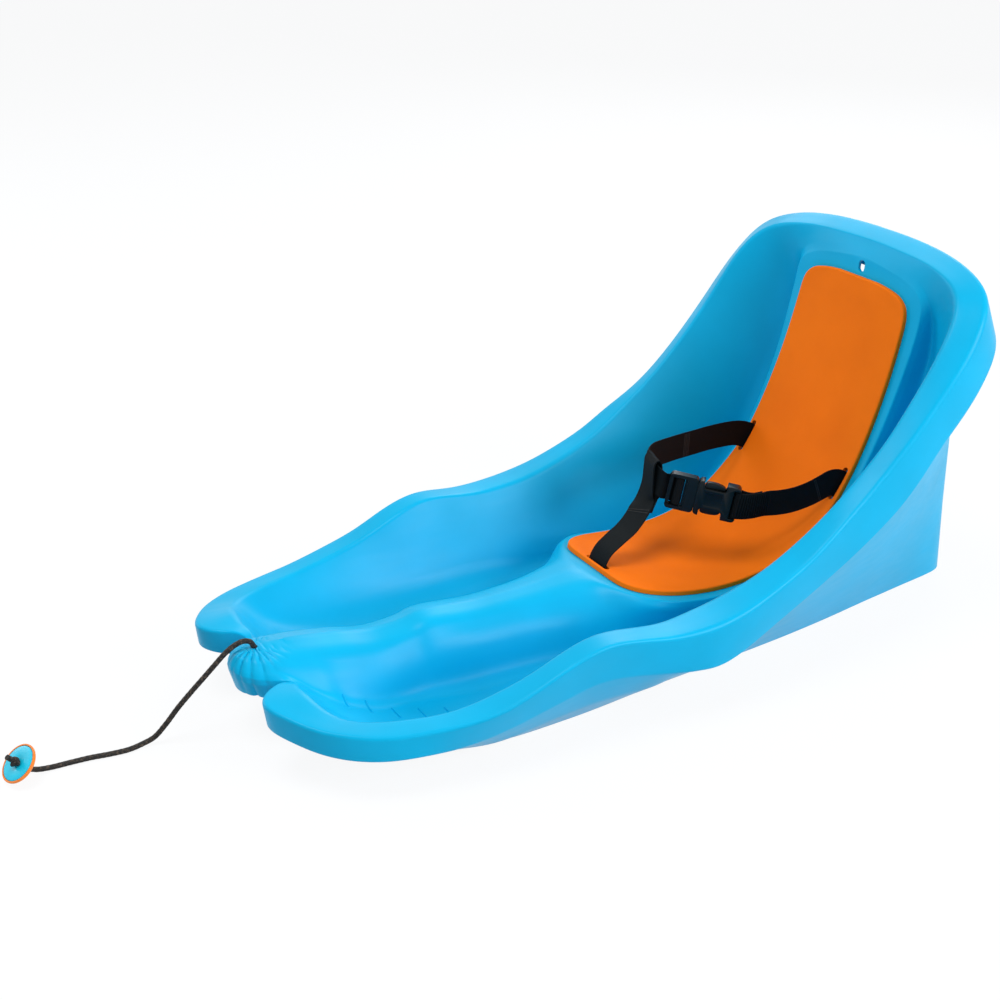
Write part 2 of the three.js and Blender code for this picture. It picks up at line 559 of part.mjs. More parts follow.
// A run of webbing: a flat band along a curve through the given places.
function webbingBody(places) {
  const line = new THREE.CatmullRomCurve3(places.map((place) => place.at), false, "centripetal");
  const steps = (places.length - 1) * webbingStepsPerPlace;
  const rings = Array.from({ length: steps + 1 }, (_, step) => {
    const share = step / steps;
    const middle = line.getPoint(share);
    const along = line.getTangent(share);
    const wanted = acrossAt(places, share);
    const across = wanted.addScaledVector(along, -wanted.dot(along)).normalize();
    const out = along.clone().cross(across).normalize();
    const corner = (a, b) =>
      middle
        .clone()
        .addScaledVector(across, (a * webbingWidth) / 2)
        .addScaledVector(out, (b * webbingThickness) / 2);
    return [corner(-1, -1), corner(1, -1), corner(1, 1), corner(-1, 1)];
  });
  return solid(ringGeometry(rings));
}

// The direction across the webbing at a share of its run.
function acrossAt(places, share) {
  const spans = places.length - 1;
  const span = Math.min(Math.floor(share * spans), spans - 1);
  return places[span].across.clone().lerp(places[span + 1].across, share * spans - span).normalize();
}

const placesOf = (shares) =>
  shares.map(({ at, across }) => ({ at: point(at), across: new THREE.Vector3(...across).normalize() }));

const buckleFrame = frameAt(point(buckleMiddleShare), buckleAlong, buckleAcross);

const loopPlacesOf = (shares) =>
  shares.map(([along, across, out]) => ({
    at: new THREE.Vector3(along * buckleLength, across * buckleWidth, out * buckleHeight)
      .applyMatrix4(buckleFrame),
    across: new THREE.Vector3(0, 1, 0).transformDirection(buckleFrame),
  }));

// A lap strap from its slot to the end of its loop round a bar of the buckle.
function lapStrapBody(strapShares, loopShares) {
  return webbingBody([...placesOf(strapShares), ...loopPlacesOf(loopShares)]);
}

// A block of the buckle: its ends along, across and out of it, as shares of the buckle's length, width and
// height.
function buckleBlock([startShare, endShare], [lowShare, highShare], [innerShare, outerShare]) {
  return boxSolid(
    new THREE.Vector3(startShare * buckleLength, lowShare * buckleWidth, innerShare * buckleHeight),
    new THREE.Vector3(endShare * buckleLength, highShare * buckleWidth, outerShare * buckleHeight),
  );
}

// A share to both sides of the buckle's middle.
const bothWays = (share) => [-share, share];

function plugBody() {
  const [outerBarStart, outerBarEnd] = plugOuterBarShares;
  const [middleBarStart, middleBarEnd] = plugMiddleBarShares;
  const rails = bothWays(railInnerShare);
  const through = bothWays(beyondShare);
  const overBars = [-beyondShare, plugWindowEndShare];
  const ends = [outerBarStart, plugShoulderShare];
  const frame = buckleBlock(ends, bothWays(halfShare), bothWays(bodyHalfHeightShare))
    .subtract(buckleBlock([outerBarEnd, middleBarStart], rails, through))
    .subtract(buckleBlock([middleBarEnd, plugWindowEndShare], rails, through))
    .subtract(buckleBlock(overBars, rails, [barHalfHeightShare, beyondShare]))
    .subtract(buckleBlock(overBars, rails, [-beyondShare, -barHalfHeightShare]));
  const guide = buckleBlock(
    [plugShoulderShare - plugLapShare, guideEndShare],
    bothWays(guideHalfShare),
    bothWays(armHalfHeightShare),
  );
  return placed(frame.add(guide), buckleFrame);
}

// One sprung prong: a slim arm with a head that shows in the socket's side notch.
function prongBody(side) {
  const outline = new THREE.Shape();
  const along = (share) => share * buckleLength;
  const across = (share) => side * share * buckleWidth;
  outline.moveTo(along(prongRootShare), across(prongInnerShare));
  outline.lineTo(along(prongTipShare), across(prongInnerShare));
  outline.lineTo(along(prongTipShare), across(prongTipOuterShare));
  outline.lineTo(along(prongHeadShare + prongSlopeShare), across(prongHeadOuterShare));
  outline.lineTo(along(prongHeadShare), across(prongHeadOuterShare));
  outline.lineTo(along(prongHeadShare), across(prongOuterShare));
  outline.lineTo(along(prongRootShare), across(prongOuterShare));
  const depth = armHalfHeightShare * 2 * buckleHeight;
  const arm = new THREE.ExtrudeGeometry(outline, { depth, bevelEnabled: false });
  return placed(solid(arm.translate(0, 0, -depth / 2)), buckleFrame);
}

function socketBody() {
  const halfHeight = buckleHeight / 2;
  const halfLength = ((halfShare - socketMouthShare) * buckleLength) / 2;
  const middle = ((halfShare + socketMouthShare) * buckleLength) / 2;
  const shell = plateSolid(halfLength, buckleWidth / 2, halfHeight, -halfHeight, halfHeight);
  const outer = shell.translate([middle, 0, 0]);
  const rails = bothWays(railInnerShare);
  const through = bothWays(beyondShare);
  const overBar = [socketStrapWindowShares[0], beyondShare];
  const chamber = buckleBlock(
    [-beyondShare, socketChamberShare],
    bothWays(socketWallShare),
    bothWays(chamberHalfHeightShare),
  );
  const body = outer
    .subtract(chamber)
    .subtract(buckleBlock(socketNotchShares, [socketNotchInnerShare, beyondShare], through))
    .subtract(buckleBlock(socketNotchShares, [-beyondShare, -socketNotchInnerShare], through))
    .subtract(buckleBlock(socketStrapWindowShares, rails, through))
    .subtract(buckleBlock(overBar, rails, [socketBarShare, beyondShare]))
    .subtract(buckleBlock(overBar, rails, [-beyondShare, -socketBarShare]));
  return placed(body, buckleFrame);
}

// A flat stop behind a strap slot, with the webbing through it.
function stopBody(shares, along, out) {
  const gapBehind = wallThickness + stopClearance;
  const under = gapBehind + stopThickness;
  const plate = plateSolid(stopLength / 2, stopWidth / 2, stopWidth / 4, -under, -gapBehind);
  const gap = plateSolid(
    webbingWidth / 2 + clearance,
    webbingThickness / 2 + clearance,
    clearance,
    -under - cutOverrun,
    cutOverrun,
  );
  return placed(plate.subtract(gap), frameAt(point(shares), along, out.clone().cross(along)));
}

function ropeBody() {
  const outline = new THREE.Shape();
  outline.absarc(0, 0, ropeDiameter / 2, 0, Math.PI * 2);
  const line = new THREE.CatmullRomCurve3(ropeShares.map(point), false, "centripetal");
  const curveSegments = ropeSides / 2;
  const options = { steps: ropeSteps, curveSegments, bevelEnabled: false, extrudePath: line };
  return solid(new THREE.ExtrudeGeometry(outline, options));
}

// A turned piece about its own Z, set with that axis along a direction.
function turnedBody(profile, place, facing) {
  const closed = [...profile, profile[0]].map(([radius, height]) => new THREE.Vector2(radius, height));
  const lathe = new THREE.LatheGeometry(closed, handleSides).rotateX(Math.PI / 2);
  const turn = new THREE.Matrix4().makeRotationFromQuaternion(
    new THREE.Quaternion().setFromUnitVectors(new THREE.Vector3(0, 0, 1), facing.clone().normalize()),
  );
  return placed(solid(lathe), turn.setPosition(place));
}

function knotBody(place, facing, sizeShare) {
  const reach = (sizeShare * knotDiameter - ropeDiameter) / 2 - clearance;
  const half = (sizeShare * knotHeight) / 2;
  const hole = ropeDiameter / 2 + clearance;
  const rows = knotProfileShares.map(([across, up]) => [hole + reach * across, half * up]);
  return turnedBody(rows, place, facing);
}

// The handle's rim or face, from its turned profile.
function handlePart(profileShares) {
  const hole = ropeDiameter / 2 + clearance;
  const reach = handleDiameter / 2 - hole;
  const rows = profileShares.map(([across, up]) => [hole + reach * across, handleHeight * up]);
  return turnedBody(rows, point(handleShare), handleFacing);
}

const outerKnotHeight = handleHeight * outerKnotShare + (knotHeight * outerKnotSizeShare) / 2;
const outerKnotPlace = point(handleShare).addScaledVector(handleFacing, outerKnotHeight);
const cordPieces = ["tow_rope", "rope_knot_inner", "rope_knot_outer"];
const pieces = [
  meshOf("hull", hullBody(), finishes.hull),
  meshOf("seat_pad", padBody(), finishes.pad),
  meshOf("lap_strap_left", lapStrapBody(leftStrapShares, leftLoopShares), finishes.webbing),
  meshOf("lap_strap_right", lapStrapBody(rightStrapShares, rightLoopShares), finishes.webbing),
  meshOf("crotch_strap", webbingBody(placesOf(frontStrapShares)), finishes.webbing),
  meshOf("buckle_plug", plugBody(), finishes.buckle),
  meshOf("plug_prong_upper", prongBody(1), finishes.buckle),
  meshOf("plug_prong_lower", prongBody(-1), finishes.buckle),
  meshOf("buckle_socket", socketBody(), finishes.buckle),
  meshOf(
    "strap_stop_left",
    stopBody(mirroredShare(backSlotShare), backSlotAlong, backSlotOut),
    finishes.buckle,
  ),
  meshOf("strap_stop_right", stopBody(backSlotShare, backSlotAlong, backSlotOut), finishes.buckle),
  meshOf("strap_stop_front", stopBody(frontSlotShare, frontSlotAlong, frontSlotOut), finishes.buckle),
  meshOf("tow_rope", ropeBody(), finishes.webbing),
  meshOf("rope_knot_inner", knotBody(point(knotInnerShare), ropeHoleOut, 1), finishes.webbing),
  meshOf("rope_knot_outer", knotBody(outerKnotPlace, handleFacing, outerKnotSizeShare), finishes.webbing),
  meshOf("handle_face", handlePart(faceProfileShares), finishes.handle),
  meshOf("handle_rim", handlePart(rimProfileShares), finishes.rim),
];

// The part's origin is the middle of its box at floor level, without the rope and its knots.
const sled = new THREE.Group();
pieces.forEach((piece) => sled.add(piece));
const bounds = new THREE.Box3();
pieces
  .filter((piece) => !cordPieces.includes(piece.name))
  .forEach((piece) => bounds.expandByObject(piece));
const middle = bounds.getCenter(new THREE.Vector3());
pieces.forEach((piece) => piece.geometry.translate(-middle.x, -middle.y, -bounds.min.z));

export default sled;
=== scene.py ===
"""Looks of a baby pull sled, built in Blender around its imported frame.

Lengths are metres in the frame's axes: the nose towards -Y, the backrest towards +Y, +Z up.
"""
import json
import math

import bmesh
import bpy
import numpy as np
from mathutils import Matrix, Vector


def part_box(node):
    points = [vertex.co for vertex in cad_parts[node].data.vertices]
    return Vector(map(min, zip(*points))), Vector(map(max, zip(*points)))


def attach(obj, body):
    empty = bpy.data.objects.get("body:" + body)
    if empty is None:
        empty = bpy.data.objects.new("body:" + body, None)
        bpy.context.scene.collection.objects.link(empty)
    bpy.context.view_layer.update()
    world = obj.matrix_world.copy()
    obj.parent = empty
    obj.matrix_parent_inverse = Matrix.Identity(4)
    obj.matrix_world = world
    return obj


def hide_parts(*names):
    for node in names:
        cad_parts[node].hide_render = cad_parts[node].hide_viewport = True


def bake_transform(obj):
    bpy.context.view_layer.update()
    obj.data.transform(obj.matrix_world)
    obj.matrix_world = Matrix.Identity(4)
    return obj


bl_info = {
    "name": "Baby pull sled",
    "version": (1, 0, 0),
    "blender": (4, 5, 0),
    "location": "3D View > Sidebar > Sled",
    "description": "Builds the visible pieces of a baby pull sled around its packed frame",
    "category": "Add Mesh",
}

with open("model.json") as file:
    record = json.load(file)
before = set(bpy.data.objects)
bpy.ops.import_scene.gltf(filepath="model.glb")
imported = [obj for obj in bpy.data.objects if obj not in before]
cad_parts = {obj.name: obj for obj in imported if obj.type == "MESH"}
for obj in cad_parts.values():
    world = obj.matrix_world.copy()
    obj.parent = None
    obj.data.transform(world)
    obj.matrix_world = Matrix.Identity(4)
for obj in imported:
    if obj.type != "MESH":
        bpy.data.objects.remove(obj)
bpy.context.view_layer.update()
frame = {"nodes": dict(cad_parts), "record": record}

SLED_LENGTH = 0.848
WHOLE = 1000  # the share tables hold thousandths of the sled's length
SHIFT = np.array([0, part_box("hull")[1].y - SLED_LENGTH, 0])
FLIP = np.array([-1, 1, 1])

# The half section of the hull at each station, from the centre line outwards: ridge or panel centre, its edge,
# its shoulder, inner and outer edge of the trough's floor, inner and outer edge of the rim, lower edge of the
# skirt, top and bottom of the foot's wall.
HULL_STATION_SHARES = np.array([
    [[0, 17.5, 106], [0, 10, 104], [0, 6, 102], [0, 3.5, 98.5], [0, 0, 92.5],
     [0, -1, 87.5], [0, 0, 80], [0, 5, 60], [0, 20, 56], [0, 77.5, 55]],
    [[0, 27.5, 107.5], [15, 25, 105], [22.5, 21, 101], [27.5, 19, 96], [31, 16, 91],
     [34, 15, 86], [35, 16, 79], [32.5, 22.5, 60], [25, 37.5, 56], [25, 77.5, 55]],
    [[0, 42.5, 107.5], [21, 44, 105], [32.5, 45, 99], [41, 47.5, 90], [49, 51, 85],
     [52.5, 51, 84], [51, 47.5, 79], [49, 47.5, 59], [48, 60, 56], [50, 78, 52.5]],
    [[0, 60, 107.5], [26, 65, 101], [41, 71, 87.5], [57.5, 77.5, 65], [72.5, 70, 69],
     [71.5, 50.5, 91], [62, 38, 92.5], [62, 40, 62.5], [70, 55, 59], [71, 78, 50]],
    [[0, 77.5, 106], [27.5, 82.5, 99], [45, 90, 82.5], [62.5, 97.5, 52.5], [82.5, 80, 60],
     [83, 46.5, 94], [72.5, 15.5, 95], [72.5, 19, 64], [82.5, 42.5, 57.5], [85, 78, 45]],
    [[0, 92.5, 104], [29, 100, 96], [46, 107.5, 75], [62.5, 115, 40], [105, 80, 59],
     [103.5, 48, 96], [97.5, -2.5, 95], [99, 1.5, 65], [105, 40, 57.5], [103, 78, 44]],
    [[0, 112.5, 100.5], [30, 120, 92.5], [47.5, 125, 67.5], [64, 130, 34], [125, 97.5, 47.5],
     [129.5, 54.5, 89], [132, 13, 91], [133, 15.5, 61], [131, 52.5, 52.5], [120, 92, 35]],
    [[0, 132.5, 97.5], [30, 137.5, 89], [47.5, 141, 62.5], [64, 144, 27.5], [137.5, 119, 37.5],
     [152.5, 71, 82.5], [160, 34, 85], [161, 36, 55], [153, 65, 44], [130, 114, 22]],
    [[0, 152.5, 92.5], [30, 157.5, 84], [46, 160, 57.5], [62.5, 160, 22.5], [140, 140, 30],
     [167.5, 97.5, 80], [182.5, 62.5, 81], [185, 64, 51], [168, 91, 36], [135, 141, 14]],
    [[0, 175, 89], [29, 177.5, 81], [44, 179, 55], [57.5, 180, 19], [140, 165, 22.5],
     [179, 127.5, 80], [200, 96, 77.5], [202, 98, 49], [176, 124, 30], [140, 166, 10]],
    [[0, 197.5, 89], [27.5, 199, 82.5], [42.5, 200, 55], [55, 201, 16], [140, 190, 17.5],
     [187.5, 160, 80], [211, 132.5, 77.5], [210, 138, 47.5], [178, 162, 26], [149, 187, 7]],
    [[0, 220, 91], [25, 221, 86], [41, 222.5, 60], [56, 222.5, 16], [141, 215, 15],
     [192.5, 190, 82.5], [221, 172.5, 79], [208, 180, 42], [180, 193, 20.5], [156, 208, 4]],
    [[0, 237.5, 95.5], [24, 237.5, 92], [42.5, 239, 65], [59, 244, 15], [144, 240, 14],
     [195, 222.5, 89], [229, 215, 85], [212.5, 221, 47.5], [190, 230, 20.5], [160, 237.5, 1]],
    [[0, 275, 92.5], [22.5, 275, 89], [45, 276, 65], [62.5, 279, 15], [150, 277.5, 14],
     [197.5, 267.5, 101], [229, 262.5, 99], [215, 266, 57.5], [192.5, 272.5, 25], [163, 277.5, 0]],
    [[0, 312.5, 89], [22.5, 312.5, 85], [45, 314, 62.5], [64, 316, 14], [154, 319, 14],
     [199, 312.5, 120], [231, 307.5, 119], [216, 311, 67.5], [192.5, 317.5, 30], [162.5, 322.5, 0]],
    [[0, 350, 89], [24, 350, 85], [47.5, 351, 62.5], [66, 354, 14], [156, 362.5, 14],
     [201, 352.5, 131], [232.5, 352.5, 130], [219, 355, 77.5], [194, 362.5, 34], [161, 370, 0]],
    [[0, 390, 90], [26, 390, 86], [52.5, 391, 62.5], [72.5, 395, 14], [157.5, 406, 14],
     [202.5, 397.5, 126], [234, 397.5, 124], [222.5, 400, 72.5], [195, 407.5, 32.5], [157.5, 412.5, 0]],
    [[0, 425, 92.5], [32.5, 426, 89], [61, 429, 64], [84, 435, 14], [157.5, 445, 14],
     [202.5, 437.5, 121], [240, 432.5, 120], [230, 437.5, 67.5], [200, 440, 35], [154, 450, 0]],
    [[0, 455, 95], [42.5, 457.5, 91], [77.5, 462.5, 65], [100, 470, 14], [156, 480, 14],
     [201, 472.5, 124], [244, 467.5, 120], [237.5, 470, 65], [202.5, 475, 45], [151, 487.5, 0]],
    [[0, 476, 89], [75, 482, 87], [97.5, 490, 77], [107.5, 500, 14], [154, 510, 14],
     [200, 502.5, 127.5], [246, 497.5, 122.5], [239, 500, 62.5], [205, 505, 55], [149, 520, 0]],
    [[0, 515, 80], [106, 515, 80], [110.5, 518, 71], [113.5, 530, 14], [152.5, 545, 14],
     [201, 540, 136], [245, 535, 130], [236, 537.5, 71], [207.5, 542.5, 65], [147.5, 560, 0]],
    [[0, 562.5, 71], [110.5, 562.5, 71], [113, 566, 62], [114, 577.5, 14], [149, 587.5, 15],
     [202.5, 582.5, 150], [242.5, 575, 144], [231, 585, 90], [209, 590, 84], [144, 607.5, 0]],
    [[0, 615, 67.5], [111.5, 615, 67.5], [114, 619, 58], [115, 627.5, 15], [147.5, 635, 17.5],
     [202.5, 625, 171], [240, 617.5, 162.5], [229, 629, 110], [209, 635, 105], [140, 662.5, 0]],
    [[0, 665, 71], [111.5, 665, 71], [114.5, 670, 61], [115.5, 681, 20], [147.5, 685, 25],
     [204, 662.5, 196], [237.5, 652.5, 185], [229, 666, 130], [209, 676, 125], [135, 715, 0]],
    [[0, 712.5, 86], [111.5, 712.5, 86], [114.5, 719, 77], [116, 733, 35], [147.5, 731, 42.5],
     [204, 695, 221], [232.5, 685, 205], [229, 702.5, 151], [207.5, 715, 145], [129, 765, 0]],
    [[0, 751, 112], [112, 751, 112], [115, 759, 104], [117.5, 780, 64], [150, 772, 78],
     [204, 725, 247.5], [230, 714, 226], [229, 737.5, 174], [206, 752.5, 165], [124, 800, 0]],
    [[0, 784, 144], [112, 784, 144], [115, 792, 137], [117.5, 818, 104], [150, 806, 117],
     [204, 755, 277.5], [229, 745, 254], [227.5, 769, 196], [200, 790, 182.5], [119, 835, 0]],
    [[0, 812.5, 189], [111.5, 812.5, 189], [114.5, 821, 184], [116, 847, 158], [149, 833, 170],
     [202.5, 782.5, 311], [230, 777.5, 286], [226.5, 801, 228], [187.5, 830, 200], [115, 867.5, 0]],
    [[0, 836, 241], [113, 836, 241], [115.5, 845, 237], [117, 870, 217], [146, 857, 227],
     [201.5, 809, 346], [229.5, 810.5, 324], [225.5, 830.5, 266], [170, 872, 215], [111, 897.5, 0]],
    [[0, 853, 287.5], [114, 853, 287.5], [116.5, 862, 285], [118.5, 886, 275], [142.5, 875, 285],
     [199, 833, 381.5], [229.5, 842.5, 362], [225, 864, 302], [147.5, 910, 225], [107.5, 927.5, 0]],
    [[0, 866, 332.5], [116, 866, 332.5], [118, 875, 331], [120, 898, 326], [137.5, 889, 333],
     [191, 853, 408.5], [223.5, 867, 393], [221, 891.5, 338], [125, 942, 230], [104, 955, 0]],
    [[0, 875, 370], [116, 875, 370], [118.5, 882, 370], [121, 894, 366.5], [133, 889, 375],
     [174.5, 868, 426], [210.5, 887, 419.5], [210, 912.5, 366], [105, 965, 230], [99, 977.5, 0]],
    [[0, 879, 397], [112, 879, 400], [116, 881, 401], [120, 883.5, 403.5], [129, 883, 412],
     [149, 879, 436], [186.5, 903, 437], [187, 923, 386], [88, 973, 225], [88, 991, 0]],
    [[0, 881, 409], [80, 882, 415], [85, 883.3, 419.5], [90, 884.8, 425.5], [98, 887, 434],
     [105.5, 889, 443.5], [136.5, 915, 451], [137.5, 928, 400], [62.5, 976, 222.5], [62.5, 997.5, 0]],
    [[0, 882, 417], [37, 883, 422], [40, 884.6, 426], [44, 886.7, 431.3], [49.5, 889.6, 438.7],
     [55, 892.5, 446], [72.5, 921.5, 457.5], [75, 929, 405], [32.5, 977.5, 222.5], [32.5, 999.5, 0]],
    [[0, 882.5, 422], [0, 883.5, 426], [0, 885.2, 430], [0, 887.7, 435], [0, 891, 441],
     [0, 894, 447.5], [0, 922.5, 459], [0, 930, 407.5], [0, 977.5, 222.5], [0, 1000, 0]],
])
# How much of the shorter leg each corner's rounding takes, the first corner's on the panel, and how the rounds, the
# straights between them and the hull's length are divided.
ROUND_SHARES = [0.42, 0.4, 0.36, 0.36, 0.15, 0.17, 0.07, 0.14]
PANEL_ROUND_SHARE = 0.22
PANEL_STATIONS = (18, 20)
ROUND_STEPS = [5, 5, 5, 4, 5, 6, 4, 3]
STRAIGHT_STEPS = [3, 3, 3, 2, 3, 3, 2, 2, 2]
NOSE_STATIONS = 5
NOSE_STEPS = 18
SIDE_STEPS = 6
RAIL_SMOOTHING = 0.45

# The pad's rows from its front edge to its top edge: the hull station below the row, and the half width there.
PAD_ROW_SHARES = np.array([
    [19.1, 40], [19.14, 54], [19.24, 64], [19.4, 72], [19.6, 79], [19.85, 85], [20.2, 90.5], [20.6, 94],
    [21, 96], [21.5, 98], [22, 99], [22.5, 99.5], [23, 100], [23.5, 101], [24, 102], [24.5, 102.5],
    [25, 102.5], [25.5, 102.5], [26, 101.5], [26.5, 100.5], [27, 100], [27.5, 99.5], [28, 99], [29, 98],
    [30, 97], [30.5, 96.5], [30.9, 95.8], [31.2, 94.3], [31.45, 91.5], [31.68, 87], [31.9, 80], [32.1, 70],
    [32.28, 55], [32.42, 36],
])

# Slots: the middle on the panel, the direction along the slot and the direction out of the panel.
BACK_SLOT = ((92, 797, 163.5), (0, 0.535, 0.844), (0, -0.844, 0.535))
FRONT_SLOT = ((0, 488, 86.4), (1, 0, 0), (0, 0.225, 0.974))
PAD_SLOT_SIZE = (0.0385, 0.0066)
THROUGH = 0.012  # how far a tool reaches on both sides of the wall that it cuts
# Both holes' middles; and in metres half their width, half the hanging hole's height, and their corners' radius.
HANGING_HOLE = (0, 883, 414.5)
HANGING_HOLE_HALVES = (0.0045, 0.0065, 0.00449)
ROPE_HOLE = ((0, 35.4, 96.9), (0, -0.38, 0.925))
ROPE_HOLE_HALVES = (0.0033, 0.00329)
REAR_OPENING = {"half_width": 96, "low": 232, "high": 398, "front": 912, "back": 1010}
# The floor ribs: where each starts and ends across the sled and where it lies along it, in the frame's metres, and
# the height from which the floor is looked for.
RIB_PLACES = [(0.05, 0.061, -0.2254), (0.053, 0.067, -0.2034), (0.061, 0.079, -0.1794), (0.068, 0.087, -0.1544),
              (0.077, 0.091, -0.1304)]
ABOVE_FLOOR = 0.09
KEELS = {"middle": 106, "ends": (205, 470), "high": 12.5, "width": 0.007}  # the width in metres

# The webbing's centre lines: three numbers for the place, three for the direction across the webbing there.
LEFT_STRAP = [
    (-92, 810.5, 155, 0, 0.535, 0.844), (-92, 797, 163.5, 0, 0.535, 0.844), (-92, 788.5, 168.9, 0, 0.52, 0.86),
    (-91, 770, 175.5, 0, 0.36, 0.93), (-88, 732, 179.5, 0, 0.14, 0.99), (-83, 690, 181, 0, 0.06, 1),
    (-76, 650, 183, 0, 0.02, 1), (-65, 614, 185, -0.05, 0, 1), (-46, 594, 185.5, 0, 0, 1),
    (-24, 586.5, 184, 0.06, 0, 1), (-8, 582, 181, 0.1, 0.08, 1),
]
RIGHT_STRAP = [
    (92, 810.5, 155, 0, 0.535, 0.844), (92, 797, 163.5, 0, 0.535, 0.844), (92, 787, 169.8, 0, 0.535, 0.844),
    (91.4, 778.5, 171.2, 0, 0.2, 0.98), (90, 767, 167.5, 0, -0.1, 0.99), (87.5, 750, 161.5, 0.02, -0.05, 1),
    (84, 728, 157, 0.05, 0.05, 1), (79.5, 709, 155.5, 0.09, 0.12, 0.98), (75, 690, 156.5, 0.11, 0.135, 0.984),
]
# The ends of both lap straps round the buckle's bars, as shares of the buckle's length, width and height.
LEFT_LOOP = [
    (-0.563, 0, -0.325), (-0.48, 0, -0.41), (-0.417, 0, -0.184), (-0.389, 0, 0.233), (-0.349, 0, 0.353),
    (-0.308, 0, 0.233), (-0.299, 0, -0.085), (-0.343, 0, -0.382), (-0.424, 0, -0.537), (-0.508, 0, -0.579),
]
RIGHT_LOOP = [
    (0.759, 0.021, -0.565), (0.647, 0, -0.085), (0.558, 0, 0.24), (0.483, 0, 0.38), (0.427, 0, 0.23),
    (0.415, 0, -0.042), (0.433, 0, -0.335), (0.495, 0, -0.43), (0.58, 0, -0.325), (0.67, 0, -0.452),
    (0.748, 0.021, -0.777), (0.803, 0.042, -1.06),
]
FRONT_STRAP = [
    (0, 484.6, 71.8, 1, 0, 0), (0, 488, 86.4, 1, 0, 0), (0, 490, 96, 1, 0, 0), (0, 498, 108, 1, 0, 0),
    (-2, 514, 117, 1, 0.04, 0), (-7, 538, 127, 1, 0.06, 0), (-15, 560, 141, 1, 0.02, 0),
    (-24, 574, 151, 1, -0.1, 0), (-26.5, 580, 167, 1, -0.24, 0), (-26, 581, 190, 1, -0.28, 0),
    (-25.8, 582, 201, 1, -0.3, 0), (-25, 586, 206, 1, -0.32, 0), (-24.5, 591.5, 202, 1, -0.32, 0),
    (-24, 593, 192, 1, -0.32, 0), (-24, 593, 173, 1, -0.32, 0), (-24.5, 590.5, 161.5, 1, -0.24, 0),
    (-23, 579.5, 152.5, 1, -0.08, 0), (-14.5, 562.6, 139, 1, 0.02, 0),
]
# The upper half of the webbing's section, as shares of its half width and half thickness.
WEBBING_SECTION = [(-1, 0), (-0.992, 0.62), (-0.965, 0.95), (-0.93, 0.82), (-0.6, 0.86), (-0.2, 0.88), (0.2, 0.88),
                   (0.6, 0.86), (0.93, 0.82), (0.965, 0.95), (0.992, 0.62)]
BUCKLE_SIZE = np.array([0.076, 0.04, 0.012])
# One prong from above, as shares of the buckle's length and width.
PRONG_OUTLINE = [(-0.095, 0.235), (0.27, 0.235), (0.285, 0.32), (0.27, 0.39), (0.23, 0.43), (0.16, 0.455),
                 (0.09, 0.46), (0.03, 0.45), (0, 0.42), (0, 0.35), (-0.095, 0.35)]
BUCKLE_MIDDLE = (37.5, 619, 168)
BUCKLE_ALONG = (0.634, 0.752, -0.177)
BUCKLE_ACROSS = (0.114, 0.135, 0.984)

# The rope's centre line from the knot under the nose to its end on the handle, in the frame's metres.
ROPE_ROUTE = [
    (0.0000, -0.2853, 0.0748), (0.0000, -0.2884, 0.0822), (0.0000, -0.2921, 0.0913), (-0.0004, -0.2955, 0.0968),
    (-0.0013, -0.3023, 0.0984), (-0.0030, -0.3108, 0.0950), (-0.0051, -0.3193, 0.0882), (-0.0076, -0.3286, 0.0780),
    (-0.0106, -0.3396, 0.0657), (-0.0144, -0.3523, 0.0513), (-0.0178, -0.3651, 0.0365), (-0.0216, -0.3778, 0.0195),
    (-0.0246, -0.3888, 0.0076), (-0.0259, -0.3998, 0.0034), (-0.0237, -0.4142, 0.0029), (-0.0254, -0.4320, 0.0029),
    (-0.0288, -0.4499, 0.0029), (-0.0305, -0.4677, 0.0029), (-0.0318, -0.4872, 0.0031), (-0.0315, -0.4999, 0.0056),
    (-0.0304, -0.5079, 0.0109), (-0.0292, -0.5145, 0.0185), (-0.0273, -0.5245, 0.0299),
]
ROPE_STEP = 0.00045
KNOT_SCALE = (0.00115, 0.00115, 0.0017)
KNOT_STRAND_RADIUS = 0.0019
HANDLE_PLACE = (-34.4, -231.5, 21.8)
HANDLE_FACING = (0.118, -0.648, 0.752)
# The handle's half profiles: how far out from the hole's edge to the rim, and how high, as shares.
RIM_PROFILE = [(0, -0.6), (0.04, -0.62), (0.55, -0.62), (0.8, -0.53), (0.92, -0.4), (0.985, -0.2), (1, -0.02),
               (0.995, 0.1), (0.975, 0.16), (0.92, 0.17), (0.895, 0.14), (0.885, -0.12), (0, -0.12)]
FACE_PROFILE = [(0, -0.06), (0.87, -0.06), (0.87, 0.1), (0.855, 0.16), (0.82, 0.2), (0.6, 0.25), (0.35, 0.27),
                (0.24, 0.24), (0.16, 0.18), (0.04, 0.17), (0, 0.14)]

# The weave of the webbing and the flecks of the yarn.
CHEVRON_HALF = 0.006
RIB_PITCH = 0.0017
THREAD_PITCH = 0.0009
FLECK_COLOUR = (0.11, 0.078, 0.055, 1)
STITCH_COLOUR = (0.035, 0.037, 0.04)

# Beads: their spacing along a row, and their size along the row, across it and out of it.
FLOOR_RIB_BEADS = (0.0007, 0.0026, 0.0016, 0.003)
STITCH_BEADS = (0.0022, 0.0019, 0.0007, 0.0005)
STITCH_HALF = 0.0125
DOUBLED_FROM, DOUBLED_TO = 7.9, 11.9  # where the right strap lies doubled, counted in its places

